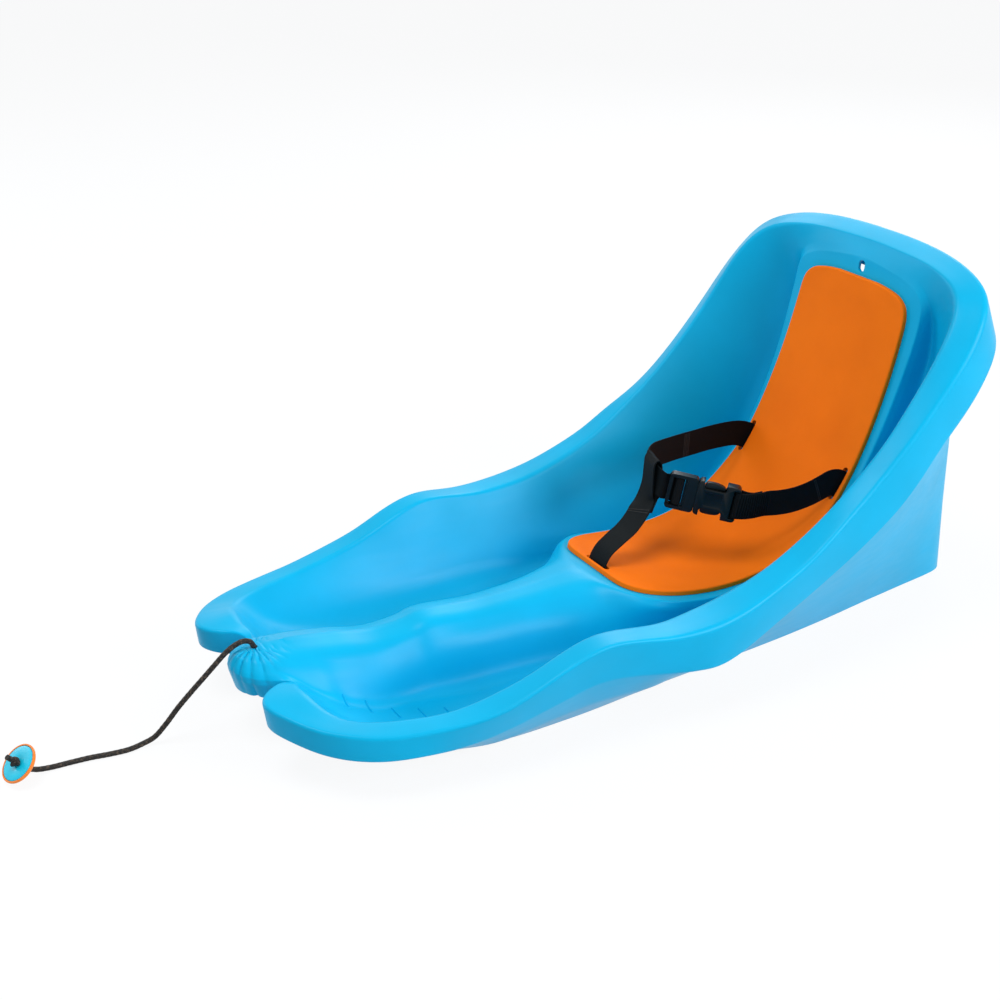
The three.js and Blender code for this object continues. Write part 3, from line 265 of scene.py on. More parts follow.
# The stage: the camera, and each lamp's name, place, aim, size and power.
CAMERA = {"place": (1.2520, -0.7567, 0.8562), "tilt": 65, "turn": 59.63, "lens": 57.9, "sensor": 36}
FLOOR_REACH = 14
FLOOR_COLOUR = (0.6, 0.62, 0.65, 1)
FLOOR_GLOW = 1.06  # the strength of the white that the camera sees on the floor
FLOOR_GLOW_SHARE = 0.86  # the rest shows the object's shadow
WHITE = (1, 1, 1, 1)
SKY = (0.8, 0.9, 1, 1)
SKY_STRENGTH = 0.36
LAMPS = (
    ("key_light", (2.3, 1.2, 1.3), (0, 0.15, 0.15), 1.6, 58),
    ("top_light", (0.1, -0.9, 2.8), (0, 0.15, 0.15), 1.5, 43),
    ("fill_light", (-2.2, -1.3, 1.2), (0, 0.1, 0.15), 1.6, 16),
    ("back_light", (-1.6, 1.9, 1.6), (0, 0, 0.1), 1.8, 26),
)


def length_setting(name, default, description):
    """A length that a user would change."""
    return bpy.props.FloatProperty(name=name, description=description, default=default, unit="LENGTH")


def colour_setting(name, default, description):
    """A colour that a user would change."""
    return bpy.props.FloatVectorProperty(
        name=name, description=description, default=default, size=3, subtype="COLOR")


class SledSizes(bpy.types.PropertyGroup):
    """Sizes that a user would change."""

    wall: length_setting("Wall", 0.0034, "Thickness of the moulded shell")
    pad: length_setting("Pad", 0.0052, "Thickness of the foam pad")
    pad_gap: length_setting("Pad gap", 0.0005, "Gap under the pad")
    webbing_width: length_setting("Webbing width", 0.03, "Width of the straps")
    webbing: length_setting("Webbing", 0.0016, "Thickness of the straps")
    rope: length_setting("Rope", 0.0052, "Diameter of the tow rope")
    handle: length_setting("Handle", 0.0386, "Diameter of the handle")
    handle_height: length_setting("Handle height", 0.0066, "Height of the handle")


class SledColours(bpy.types.PropertyGroup):
    """Base colours of the finishes, linear."""

    hull: colour_setting("Hull", (0.001, 0.415, 0.7), "Moulded shell")
    pad: colour_setting("Pad", (1.0, 0.185, 0.003), "Foam pad")
    webbing: colour_setting("Webbing", (0.001, 0.0028, 0.0038), "Straps")
    buckle: colour_setting("Buckle", (0.0018, 0.003, 0.0038), "Buckle and stops")
    rope: colour_setting("Rope", (0.006, 0.0055, 0.005), "Tow rope")
    face: colour_setting("Handle face", (0.002, 0.6, 0.82), "Handle's disc")
    rim: colour_setting("Handle rim", (0.95, 0.23, 0.01), "Handle's rim")


def unit(vectors):
    """The vectors at length one."""
    length = np.linalg.norm(vectors, axis=-1, keepdims=True)
    return vectors / np.maximum(length, 1e-12)


def placed(shares):
    """Places of the share tables, in metres in the frame."""
    return np.asarray(shares, float) * SLED_LENGTH / WHOLE + SHIFT


def spline(places, at):
    """Places on a centripetal curve through the given places, at positions counted in places."""
    places = np.asarray(places, float)
    at = np.clip(np.asarray(at, float), 0, len(places) - 1)
    span = np.minimum(at.astype(int), len(places) - 2)
    part = (at - span).reshape((-1,) + (1,) * (places.ndim - 1))
    line = np.concatenate([[2 * places[0] - places[1]], places, [2 * places[-1] - places[-2]]])
    gaps = np.sqrt(np.linalg.norm(np.diff(line, axis=0), axis=-1, keepdims=True))
    p0, p1, p2, p3 = (line[span + step] for step in range(4))
    d0, d1, d2 = (gaps[span + step] for step in range(3))
    start = ((p1 - p0) / d0 - (p2 - p0) / (d0 + d1) + (p2 - p1) / d1) * d1
    end = ((p2 - p1) / d1 - (p3 - p1) / (d1 + d2) + (p3 - p2) / d2) * d1
    return (p1 + start * part + (3 * (p2 - p1) - 2 * start - end) * part ** 2
            + (2 * (p1 - p2) + start + end) * part ** 3)


def run_along(path):
    """How far along the path each of its points lies."""
    return np.concatenate([[0], np.cumsum(np.linalg.norm(np.diff(path, axis=0), axis=1))])


def evenly(path, step):
    """The path again, with its points about a step apart."""
    lengths = run_along(path)
    wanted = np.linspace(0, lengths[-1], max(2, int(round(lengths[-1] / step)) + 1))
    return np.stack([np.interp(wanted, lengths, path[:, axis]) for axis in range(3)], axis=1)


def node(tree, kind, links=None, values=None, **settings):
    """A node in a tree, with its settings, its sockets' values and its links."""
    made = tree.nodes.new(kind)
    for key, value in settings.items():
        setattr(made, key, value)
    for key, value in (values or {}).items():
        made.inputs[key].default_value = value
    for key, socket in (links or {}).items():
        tree.links.new(socket, made.inputs[key])
    return made


def rgba(colour, scale=1.0):
    """The colour at a brightness, with full alpha."""
    return tuple(min(1.0, channel * scale) for channel in colour) + (1.0,)


def two_tones(tree, factor, first, second, low=0.3, high=0.7):
    """A colour that goes from one tone to another with a factor."""
    ramp = node(tree, "ShaderNodeValToRGB", {"Fac": factor})
    ramp.color_ramp.elements[0].position = low
    ramp.color_ramp.elements[0].color = first
    ramp.color_ramp.elements[1].position = high
    ramp.color_ramp.elements[1].color = second
    return ramp.outputs["Color"]


def noise(tree, vector, scale, detail=2.0, roughness=0.5):
    """Clouds between nought and one."""
    values = {"Scale": scale, "Detail": detail, "Roughness": roughness}
    return node(tree, "ShaderNodeTexNoise", {"Vector": vector}, values).outputs["Fac"]


def ranged(tree, value, low, high):
    """A value between two limits."""
    made = node(tree, "ShaderNodeMapRange", {"Value": value}, {"To Min": low, "To Max": high})
    return made.outputs["Result"]


def calculated(tree, operation, *terms):
    """The result of a Math node whose terms are sockets or numbers."""
    made = node(tree, "ShaderNodeMath", operation=operation)
    for socket, term in zip(made.inputs, terms):
        if isinstance(term, bpy.types.NodeSocket):
            tree.links.new(term, socket)
        else:
            socket.default_value = term
    return made.outputs["Value"]


def object_space(tree):
    """Where a point lies on its object."""
    return node(tree, "ShaderNodeTexCoord").outputs["Object"]


def bump(tree, height, distance, strength=1.0, normal=None):
    """Relief from a height, over another relief where one is given."""
    made = node(tree, "ShaderNodeBump", {"Height": height}, {"Distance": distance, "Strength": strength})
    if normal is not None:
        tree.links.new(normal, made.inputs["Normal"])
    return made.outputs["Normal"]


def new_material(name, values=None):
    """A material with a plain shader, and that shader."""
    material = bpy.data.materials.new(name)
    material.use_nodes = True
    tree = material.node_tree
    tree.nodes.clear()
    shader = node(tree, "ShaderNodeBsdfPrincipled", None, values)
    node(tree, "ShaderNodeOutputMaterial", {"Surface": shader.outputs["BSDF"]})
    return material, tree, shader


def dress(tree, shader, tone, rough, normal):
    """Gives a shader its colour, its roughness and its fine relief."""
    for name, socket in (("Base Color", tone), ("Roughness", rough), ("Normal", normal)):
        tree.links.new(socket, shader.inputs[name])


def moulded_plastic(name, colour, roughness, grain=0.00002, swell=0.0002, specular=0.5):
    """Injection moulded plastic: a fine grain, faint waves and cloudy colour."""
    material, tree, shader = new_material(name, {"Specular IOR Level": specular})
    where = object_space(tree)
    tone = two_tones(tree, noise(tree, where, 11, 4), rgba(colour, 0.93), rgba(colour, 1.05))
    scuffs = node(tree, "ShaderNodeMapping", {"Vector": where}, {"Scale": (160, 22, 160)})
    scuffed = noise(tree, scuffs.outputs["Vector"], 1, 3)
    rough = ranged(tree, scuffed, roughness - 0.06, roughness + 0.08)
    waves = bump(tree, noise(tree, where, 26, 2), swell, 0.35)
    dress(tree, shader, tone, rough, bump(tree, noise(tree, where, 1500, 2), grain, 1.0, waves))
    return material


def foam(name, colour):
    """Closed-cell foam with a fine skin."""
    material, tree, shader = new_material(name, {"Specular IOR Level": 0.12})
    where = object_space(tree)
    tone = two_tones(tree, noise(tree, where, 17, 4), rgba(colour, 0.93), rgba(colour, 1.04))
    cells = node(tree, "ShaderNodeTexVoronoi", {"Vector": where}, {"Scale": 1150}).outputs["Distance"]
    soft = bump(tree, noise(tree, where, 60, 3), 0.0004, 0.5)
    rough = ranged(tree, noise(tree, where, 300, 2), 0.6, 0.8)
    dress(tree, shader, tone, rough, bump(tree, cells, 0.00012, 0.7, soft))
    return material


def woven_webbing(name, colour):
    """Flat woven webbing: a chevron weave that follows the strap, from the weave attribute."""
    material, tree, shader = new_material(name, {"Specular IOR Level": 0.12})
    weave = node(tree, "ShaderNodeAttribute", attribute_name="weave").outputs["Vector"]
    parts = node(tree, "ShaderNodeSeparateXYZ", {"Vector": weave}).outputs
    slope = calculated(tree, "ADD", parts["X"], calculated(tree, "PINGPONG", parts["Y"], CHEVRON_HALF))
    ribs = calculated(tree, "SINE", calculated(tree, "MULTIPLY", slope, 2 * math.pi / RIB_PITCH))
    ends = calculated(tree, "SINE", calculated(tree, "MULTIPLY", parts["Y"], 2 * math.pi / THREAD_PITCH))
    height = ranged(tree, calculated(tree, "ADD", ribs, ends), 0, 1)
    fuzz = noise(tree, object_space(tree), 900, 3)
    tone = two_tones(tree, fuzz, rgba(colour, 0.6), rgba(colour, 1.9))
    dress(tree, shader, tone, ranged(tree, fuzz, 0.62, 0.82), bump(tree, height, 0.0003))
    return material


def cord_yarn(name, colour):
    """Braided yarn, near black with brown flecks."""
    material, tree, shader = new_material(name, {"Specular IOR Level": 0.3, "Sheen Weight": 0.05})
    where = object_space(tree)
    fleck = noise(tree, where, 420, 4, 0.7)
    tone = two_tones(tree, fleck, rgba(colour), FLECK_COLOUR, 0.5, 0.68)
    fibres = bump(tree, noise(tree, where, 2600, 2), 0.0001, 0.6)
    dress(tree, shader, tone, ranged(tree, fleck, 0.55, 0.8), fibres)
    return material


def new_piece(name, points, faces, material, sharp=35):
    """An object from points and faces, smooth apart from its sharp edges."""
    mesh = bpy.data.meshes.new(name)
    mesh.from_pydata(np.asarray(points).tolist(), [], faces)
    mesh.materials.append(material)
    piece = bpy.data.objects.new(name, mesh)
    bpy.context.scene.collection.objects.link(piece)
    shade(piece, sharp)
    return piece


def shade(piece, sharp=35):
    """Smooth shading apart from the edges sharper than an angle."""
    mesh = piece.data
    mesh.polygons.foreach_set("use_smooth", [True] * len(mesh.polygons))
    mesh.set_sharp_from_angle(angle=math.radians(sharp))
    mesh.update()


def applied(piece):
    """The piece with its modifiers made part of its mesh."""
    graph = bpy.context.evaluated_depsgraph_get()
    mesh = bpy.data.meshes.new_from_object(piece.evaluated_get(graph))
    old = piece.data
    piece.modifiers.clear()
    piece.data = mesh
    mesh.name = piece.name
    bpy.data.meshes.remove(old)
    return piece


def joined(piece, tools, operation="DIFFERENCE"):
    """The piece with tools cut from it or added to it."""
    for tool in tools:
        modifier = piece.modifiers.new("join", "BOOLEAN")
        modifier.operation = operation
        modifier.solver = "EXACT"
        modifier.object = tool
    applied(piece)
    for tool in tools:
        mesh = tool.data
        bpy.data.objects.remove(tool)
        bpy.data.meshes.remove(mesh)
    return piece


def bevelled(piece, width, segments=2, angle=40):
    """The piece with its sharp edges rounded."""
    modifier = piece.modifiers.new("edges", "BEVEL")
    modifier.width = width
    modifier.segments = segments
    modifier.limit_method = "ANGLE"
    modifier.angle_limit = math.radians(angle)
    return applied(piece)


def basis(place, along, across):
    """A matrix whose X, Y and Z run along, across and out of a piece at a place."""
    x = Vector(along).normalized()
    z = x.cross(Vector(across)).normalized()
    y = z.cross(x).normalized()
    return Matrix.Translation(Vector(place)) @ Matrix((x, y, z)).transposed().to_4x4()


def facing_matrix(facing, place):
    """A matrix at a place whose Z looks the way that is given."""
    matrix = Vector(facing).to_track_quat("Z", "Y").to_matrix().to_4x4()
    matrix.translation = Vector(place)
    return matrix


def prism(name, outline, low, high, matrix, material=None):
    """A flat outline drawn up between two heights and set by a matrix."""
    count = len(outline)
    points = [matrix @ Vector((x, y, z)) for z in (low, high) for x, y in outline]
    faces = [tuple(range(count))[::-1], tuple(range(count, 2 * count))]
    faces += [(i, (i + 1) % count, (i + 1) % count + count, i + count) for i in range(count)]
    material = material or bpy.data.materials.get("tool") or bpy.data.materials.new("tool")
    return new_piece(name, [tuple(p) for p in points], faces, material)


def rounded_outline(left, right, low, high, radius, steps=6):
    """A rectangle with round corners."""
    corners = [(right - radius, high - radius, 0), (left + radius, high - radius, 90),
               (left + radius, low + radius, 180), (right - radius, low + radius, 270)]
    outline = []
    for x, y, start in corners:
        for step in range(steps + 1):
            angle = math.radians(start + 90 * step / steps)
            outline.append((x + radius * math.cos(angle), y + radius * math.sin(angle)))
    return outline


def ring_faces(count, around, closed=False):
    """Faces between neighbouring rings of points, and from the last ring to the first where they close."""
    faces = []
    for ring in range(count if closed else count - 1):
        here, there = ring * around, (ring + 1) % count * around
        faces += [(here + i, here + (i + 1) % around, there + (i + 1) % around, there + i) for i in range(around)]
    return faces


def sheet_faces(index):
    """Faces on a grid of point numbers, looking one way and looking the other."""
    a, b, c, d = index[:-1, :-1], index[1:, :-1], index[1:, 1:], index[:-1, 1:]
    return [np.stack(corners, -1).reshape(-1, 4) for corners in ((a, d, c, b), (a, b, c, d))]


def tube(name, rings, material, sharp=60):
    """A closed skin through rings of points, with a fan over each end."""
    count, around = rings.shape[:2]
    points = np.concatenate([rings.reshape(-1, 3), [rings[0].mean(0)], [rings[-1].mean(0)]])
    first, last = count * around, count * around + 1
    top = (count - 1) * around
    faces = ring_faces(count, around)
    faces += [((i + 1) % around, i, first) for i in range(around)]
    faces += [(top + i, top + (i + 1) % around, last) for i in range(around)]
    return new_piece(name, points, faces, material, sharp)


def row_of_beads():
    """A tree that sets beads along a path: its input mesh is a line with a face direction on its points."""
    tree = bpy.data.node_groups.get("row_of_beads")
    if tree:
        return tree
    tree = bpy.data.node_groups.new("row_of_beads", "GeometryNodeTree")
    tree.interface.new_socket("Geometry", in_out="INPUT", socket_type="NodeSocketGeometry")
    for label, default in (("Pitch", 0.003), ("Along", 0.002), ("Across", 0.0006), ("Height", 0.0005)):
        socket = tree.interface.new_socket(label, in_out="INPUT", socket_type="NodeSocketFloat")
        socket.default_value = default
    tree.interface.new_socket("Material", in_out="INPUT", socket_type="NodeSocketMaterial")
    tree.interface.new_socket("Geometry", in_out="OUTPUT", socket_type="NodeSocketGeometry")
    source = node(tree, "NodeGroupInput").outputs
    line = node(tree, "GeometryNodeMeshToCurve", {"Mesh": source["Geometry"]})
    spaced = node(tree, "GeometryNodeResampleCurve",
                  {"Curve": line.outputs["Curve"], "Length": source["Pitch"]}, mode="LENGTH")
    ball = node(tree, "GeometryNodeMeshUVSphere", None, {"Segments": 8, "Rings": 6, "Radius": 0.5})
    size = node(tree, "ShaderNodeCombineXYZ", {"X": source["Along"], "Y": source["Across"], "Z": source["Height"]})
    bead = node(tree, "GeometryNodeTransform", {"Geometry": ball.outputs["Mesh"], "Scale": size.outputs["Vector"]})
    run = node(tree, "GeometryNodeInputTangent")
    turned = node(tree, "FunctionNodeAlignRotationToVector", {"Vector": run.outputs["Tangent"]}, axis="X")
    face = node(tree, "GeometryNodeInputNamedAttribute", None, {"Name": "face"}, data_type="FLOAT_VECTOR")
    facing = node(tree, "FunctionNodeAlignRotationToVector",
                  {"Rotation": turned.outputs["Rotation"], "Vector": face.outputs["Attribute"]},
                  axis="Z", pivot_axis="X")
    set_out = node(tree, "GeometryNodeInstanceOnPoints",
                   {"Points": spaced.outputs["Curve"], "Instance": bead.outputs["Geometry"],
                    "Rotation": facing.outputs["Rotation"]})
    real = node(tree, "GeometryNodeRealizeInstances", {"Geometry": set_out.outputs["Instances"]})
    smooth = node(tree, "GeometryNodeSetShadeSmooth", {"Geometry": real.outputs["Geometry"]})
    finished = node(tree, "GeometryNodeSetMaterial",
                    {"Geometry": smooth.outputs["Geometry"], "Material": source["Material"]})
    node(tree, "NodeGroupOutput", {"Geometry": finished.outputs["Geometry"]})
    return tree


def beads(name, rows, pitch, along, across, height, material):
    """A piece of beads along rows, each a path and the direction that its beads face."""
    points, edges, faces = [], [], []
    for path, face in rows:
        start = len(points)
        points += [tuple(p) for p in path]
        faces += [tuple(f) for f in np.broadcast_to(face, np.shape(path))]
        edges += [(start + i, start + i + 1) for i in range(len(path) - 1)]
    mesh = bpy.data.meshes.new(name)
    mesh.from_pydata(points, edges, [])
    facing = mesh.attributes.new("face", "FLOAT_VECTOR", "POINT")
    facing.data.foreach_set("vector", np.array(faces, np.float32).ravel())
    piece = bpy.data.objects.new(name, mesh)
    bpy.context.scene.collection.objects.link(piece)
    tree = row_of_beads()
    modifier = piece.modifiers.new("beads", "NODES")
    modifier.node_group = tree
    wanted = {"Pitch": pitch, "Along": along, "Across": across, "Height": height, "Material": material}
    for item in tree.interface.items_tree:
        if item.item_type == "SOCKET" and item.in_out == "INPUT" and item.name in wanted:
            modifier[item.identifier] = wanted[item.name]
    return applied(piece)


def hull_rails(stations):
    """The section's corners at each station, a little smoothed along the hull."""
    rails = HULL_STATION_SHARES
    table = np.concatenate([[rails[1] * FLIP], rails, [rails[-2] * FLIP]])
    before, middle, after = (spline(table, stations + 1 + step) for step in (-RAIL_SMOOTHING, 0, RAIL_SMOOTHING))
    corners = (before + 2 * middle + after) / 4
    corners[..., 2] = np.maximum(corners[..., 2], 0)
    return placed(corners)


def hull_grid():
    """The hull's outer skin: places by column and row, from the nose to the back and from the middle outwards."""
    last_station = len(HULL_STATION_SHARES) - 1
    stations = np.concatenate([
        np.linspace(0, NOSE_STATIONS, NOSE_STATIONS * NOSE_STEPS, endpoint=False),
        np.linspace(NOSE_STATIONS, last_station, (last_station - NOSE_STATIONS) * SIDE_STEPS + 1)])
    corners = hull_rails(stations)
    rows = [corners[:, 0]]
    for index, (share, steps) in enumerate(zip(ROUND_SHARES, ROUND_STEPS)):
        corner = corners[:, index + 1]
        before = corners[:, index] - corner
        after = corners[:, index + 2] - corner
        if index == 0:
            share = np.interp(stations, PANEL_STATIONS, (share, PANEL_ROUND_SHARE))
        reach = (share * np.minimum(np.linalg.norm(before, axis=1), np.linalg.norm(after, axis=1)))[:, None]
        start = corner + unit(before) * reach
        end = corner + unit(after) * reach
        last = rows[-1]
        rows += [last + (start - last) * part for part in np.linspace(0, 1, STRAIGHT_STEPS[index] + 1)[1:-1]]
        for part in np.linspace(0, 1, steps + 1):
            rows.append((1 - part) ** 2 * start + 2 * part * (1 - part) * corner + part ** 2 * end)
    last = rows[-1]
    rows += [last + (corners[:, -1] - last) * part for part in np.linspace(0, 1, STRAIGHT_STEPS[-1] + 1)[1:]]
    return on_middle(np.stack(rows, axis=1))


def on_middle(grid):
    """The grid with its ends and its first row exactly on the sled's middle plane."""
    grid[0, :, 0] = 0
    grid[-1, :, 0] = 0
    grid[:, 0, 0] = 0
    return grid


def grid_normals(grid, softened=0):
    """Directions into the wall, away from the upper skin."""
    wide = np.concatenate([[grid[1] * FLIP], grid, [grid[-2] * FLIP]])
    along = wide[2:] - wide[:-2]
    tall = np.concatenate([grid[:, 1:2] * FLIP, grid, grid[:, -1:]], axis=1)
    out = tall[:, 2:] - tall[:, :-2]
    normals = unit(np.cross(along, out))
    normals[:, -1, 2] = 0
    normals = unit(normals)
    for _ in range(softened):
        soft = normals.copy()
        soft[:, 1:-1] = normals[:, :-2] + 2 * normals[:, 1:-1] + normals[:, 2:]
        soft[1:-1] = soft[:-2] + 2 * soft[1:-1] + soft[2:]
        normals = unit(soft)
    return normals


def nose_folds(grid):
    """Shallow folds that fan out round the rope's hole, as heights on the outer skin."""
    count, twist, sharpness, depth = 9, 45, 0.42, 0.0024
    begin, fade_in, fade_out = 0.0055, 0.005, 0.016
    short, longer, longest_at, spread = 0.034, 0.026, 0.9, 0.45
    away = grid - placed(ROPE_HOLE[0])
    radius = np.linalg.norm(away, axis=-1)
    angle = np.arctan2(away[..., 0], -away[..., 1] - 0.35 * away[..., 2])
    waves = np.abs(np.sin(angle * count + radius * twist + 0.7 * np.sin(angle * 3))) ** sharpness
    limit = short + longer * np.exp(-((np.abs(angle) - longest_at) / spread) ** 2)
    reach = np.clip((radius - begin) / fade_in, 0, 1) * np.clip((limit - radius) / fade_out, 0, 1)
    return (waves - 1) * reach * depth


def build_hull(sizes, colours):
    """The shell with its keels, slots and holes, and the ribs on its floors."""
    material = moulded_plastic("hull_plastic", colours.hull, 0.34, specular=0.13)
    grid = hull_grid()
    inner = on_middle(grid + grid_normals(grid, 4) * sizes.wall)
    outer = on_middle(grid - grid_normals(grid) * nose_folds(grid)[..., None])
    count = grid.shape[0] * grid.shape[1]
    index = np.arange(count).reshape(grid.shape[:2])
    outer_faces, inner_faces = sheet_faces(index)
    here, there = index[:-1, -1], index[1:, -1]
    foot = np.stack([here, here + count, there + count, there], -1)
    faces = np.concatenate([outer_faces, inner_faces + count, foot])
    points = np.concatenate([outer.reshape(-1, 3), inner.reshape(-1, 3)])
    both_points = np.concatenate([points, points * FLIP])
    both_faces = np.concatenate([faces, faces[:, ::-1] + len(points)])
    piece = new_piece("hull_shell", both_points, both_faces.tolist(), material, 50)
    weld(piece, 1e-6)
    joined(piece, [keel(side) for side in (-1, 1)], "UNION")
    cutters = [slot_cutter(BACK_SLOT, -1), slot_cutter(BACK_SLOT, 1), slot_cutter(FRONT_SLOT)]
    wide, high, corner = HANGING_HOLE_HALVES
    peep = Matrix.Translation(Vector(placed(HANGING_HOLE))) @ Matrix.Rotation(math.pi / 2, 4, "X")
    cutters.append(prism("peep", rounded_outline(-wide, wide, -high, high, corner, 8), -THROUGH, THROUGH, peep))
    half, corner = ROPE_HOLE_HALVES
    hole = facing_matrix(ROPE_HOLE[1], placed(ROPE_HOLE[0]))
    cutters.append(prism("rope_hole", rounded_outline(-half, half, -half, half, corner, 8), -0.006, 0.014, hole))
    scale = SLED_LENGTH / WHOLE
    half = REAR_OPENING["half_width"] * scale
    low, high = REAR_OPENING["low"] * scale, REAR_OPENING["high"] * scale
    depth = (REAR_OPENING["back"] - REAR_OPENING["front"]) * scale
    rear = Matrix.Translation((0, REAR_OPENING["back"] * scale + SHIFT[1], 0))
    rear = rear @ Matrix.Rotation(math.pi / 2, 4, "X")
    cutters.append(prism("rear", rounded_outline(-half, half, low, high, (high - low) / 4, 8), 0, depth, rear))
    joined(piece, cutters)
    shade(piece, 38)
    ribs = beads("floor_ribs", floor_ribs(piece), *FLOOR_RIB_BEADS, material)
    for body in (piece, ribs):
        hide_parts("hull")
        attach(body, "sled")


def floor_ribs(hull):
    """Short lines on the floors of both leg troughs, each with the direction out of the floor."""
    lines = []
    for side in (-1, 1):
        for start, end, y in RIB_PLACES:
            path = []
            for x in np.linspace(start, end, 9):
                hit, place, normal, _ = hull.ray_cast(Vector((side * x, y, ABOVE_FLOOR)), Vector((0, 0, -1)))
                if not hit:
                    raise RuntimeError("a floor rib has no floor under it")
                path.append(tuple(place))
            lines.append((path, tuple(normal)))
    return lines


def keel(side):
    """A runner under one leg trough."""
    scale = SLED_LENGTH / WHOLE
    front, back = (end * scale + SHIFT[1] for end in KEELS["ends"])
    middle = side * KEELS["middle"] * scale
    half = KEELS["width"] / 2
    outline = rounded_outline(middle - half, middle + half, front, back, half * 0.98, 5)
    return prism("keel", outline, 0, KEELS["high"] * scale, Matrix())


def weld(piece, distance):
    """Joins the piece's points that lie within a distance."""
    work = bmesh.new()
    work.from_mesh(piece.data)
    bmesh.ops.remove_doubles(work, verts=work.verts, dist=distance)
    bmesh.ops.dissolve_degenerate(work, dist=distance, edges=work.edges)
    work.to_mesh(piece.data)
    work.free()


def slot_cutter(slot, side=1, length=0.0335, width=0.005):
    """A tool for one of the slots, mirrored for side -1."""
    shares, along, out = slot
    place = placed(np.array(shares) * [side, 1, 1])
    across = Vector(out).cross(Vector(along))
    outline = rounded_outline(-length / 2, length / 2, -width / 2, width / 2, width / 2 - 1e-5, 6)
    return prism("slot_tool", outline, -THROUGH, THROUGH, basis(place, along, across))


def seen_directly(tree):
    """One where a surface is seen, straight, in a gloss or through glass, and nought where it only gives light."""
    rays = node(tree, "ShaderNodeLightPath").outputs
    seen = rays["Is Camera Ray"]
    for kind in ("Is Glossy Ray", "Is Transmission Ray"):
        seen = calculated(tree, "MAXIMUM", seen, rays[kind])
    return seen


class SLED_OT_stage(bpy.types.Operator):
    """Camera, floor and soft studio light"""

    bl_idname = "sled.stage"
    bl_label = "Stage"

    def execute(self, context):
        scene = context.scene
        camera_data = bpy.data.cameras.new("camera")
        camera = bpy.data.objects.new("camera", camera_data)
        scene.collection.objects.link(camera)
        camera_data.sensor_width = CAMERA["sensor"]
        camera_data.lens = CAMERA["lens"]
        camera.location = CAMERA["place"]
        camera.rotation_euler = (math.radians(CAMERA["tilt"]), 0, math.radians(CAMERA["turn"]))
        scene.camera = camera
        scene.view_settings.view_transform = "Standard"

        material = bpy.data.materials.new("floor")
        material.use_nodes = True
        tree = material.node_tree
        tree.nodes.clear()
        matt = node(tree, "ShaderNodeBsdfDiffuse", None, {"Color": FLOOR_COLOUR})
        white = node(tree, "ShaderNodeEmission", None, {"Color": WHITE, "Strength": FLOOR_GLOW})
        share = calculated(tree, "MULTIPLY", seen_directly(tree), FLOOR_GLOW_SHARE)
        mixed = node(tree, "ShaderNodeMixShader",
                     {"Fac": share, 1: matt.outputs["BSDF"], 2: white.outputs["Emission"]})
        node(tree, "ShaderNodeOutputMaterial", {"Surface": mixed.outputs["Shader"]})
        corners = [(FLOOR_REACH * x, FLOOR_REACH * y, 0) for x, y in ((-1, -1), (1, -1), (1, 1), (-1, 1))]
        floor = new_piece("floor", corners, [(0, 1, 2, 3)], material)

        world = bpy.data.worlds.new("studio")
        scene.world = world
        world.use_nodes = True
        tree = world.node_tree
        tree.nodes.clear()
        seen = seen_directly(tree)
        tint = two_tones(tree, seen, SKY, WHITE, 0, 1)
        strength = ranged(tree, seen, SKY_STRENGTH, 1.0)
        back = node(tree, "ShaderNodeBackground", {"Color": tint, "Strength": strength})
        node(tree, "ShaderNodeOutputWorld", {"Surface": back.outputs["Background"]})

        for name, place, aim, size, energy in LAMPS:
            data = bpy.data.lights.new(name, "AREA")
            data.shape = "DISK"
            data.size = size
            data.energy = energy
            lamp = bpy.data.objects.new(name, data)
            scene.collection.objects.link(lamp)
            lamp.location = place
            lamp.rotation_euler = (Vector(place) - Vector(aim)).to_track_quat("Z", "Y").to_euler()
        return {"FINISHED"}


def rope_rings(path, diameter, pitch=0.0052, strands=8, around=48, depth=0.00028):
    """Rings of a braided cord: two families of strands that cross over and under."""
    along = unit(np.gradient(path, axis=0))
    side = np.zeros_like(path)
    current = unit(np.cross(along[0], [1.0, 0.2, 0.1]))
    for i, direction in enumerate(along):
        current = unit(current - direction * current.dot(direction))
        side[i] = current
    other = np.cross(along, side)
    run = run_along(path)
    turn = np.linspace(0, 2 * math.pi, around, endpoint=False)
    u = run[:, None] / pitch
    v = turn[None, :] / (2 * math.pi) * strands / 2
    right, left = u + v, u - v
    over = (np.floor(right) + np.floor(left)) % 2 == 0
    height = np.sin(math.pi * (np.where(over, right, left) % 1)) ** 0.5
    radius = diameter / 2 - depth * (1 - height)
    return (path[:, None] + side[:, None] * (np.cos(turn)[None, :, None] * radius[..., None])
            + other[:, None] * (np.sin(turn)[None, :, None] * radius[..., None]))


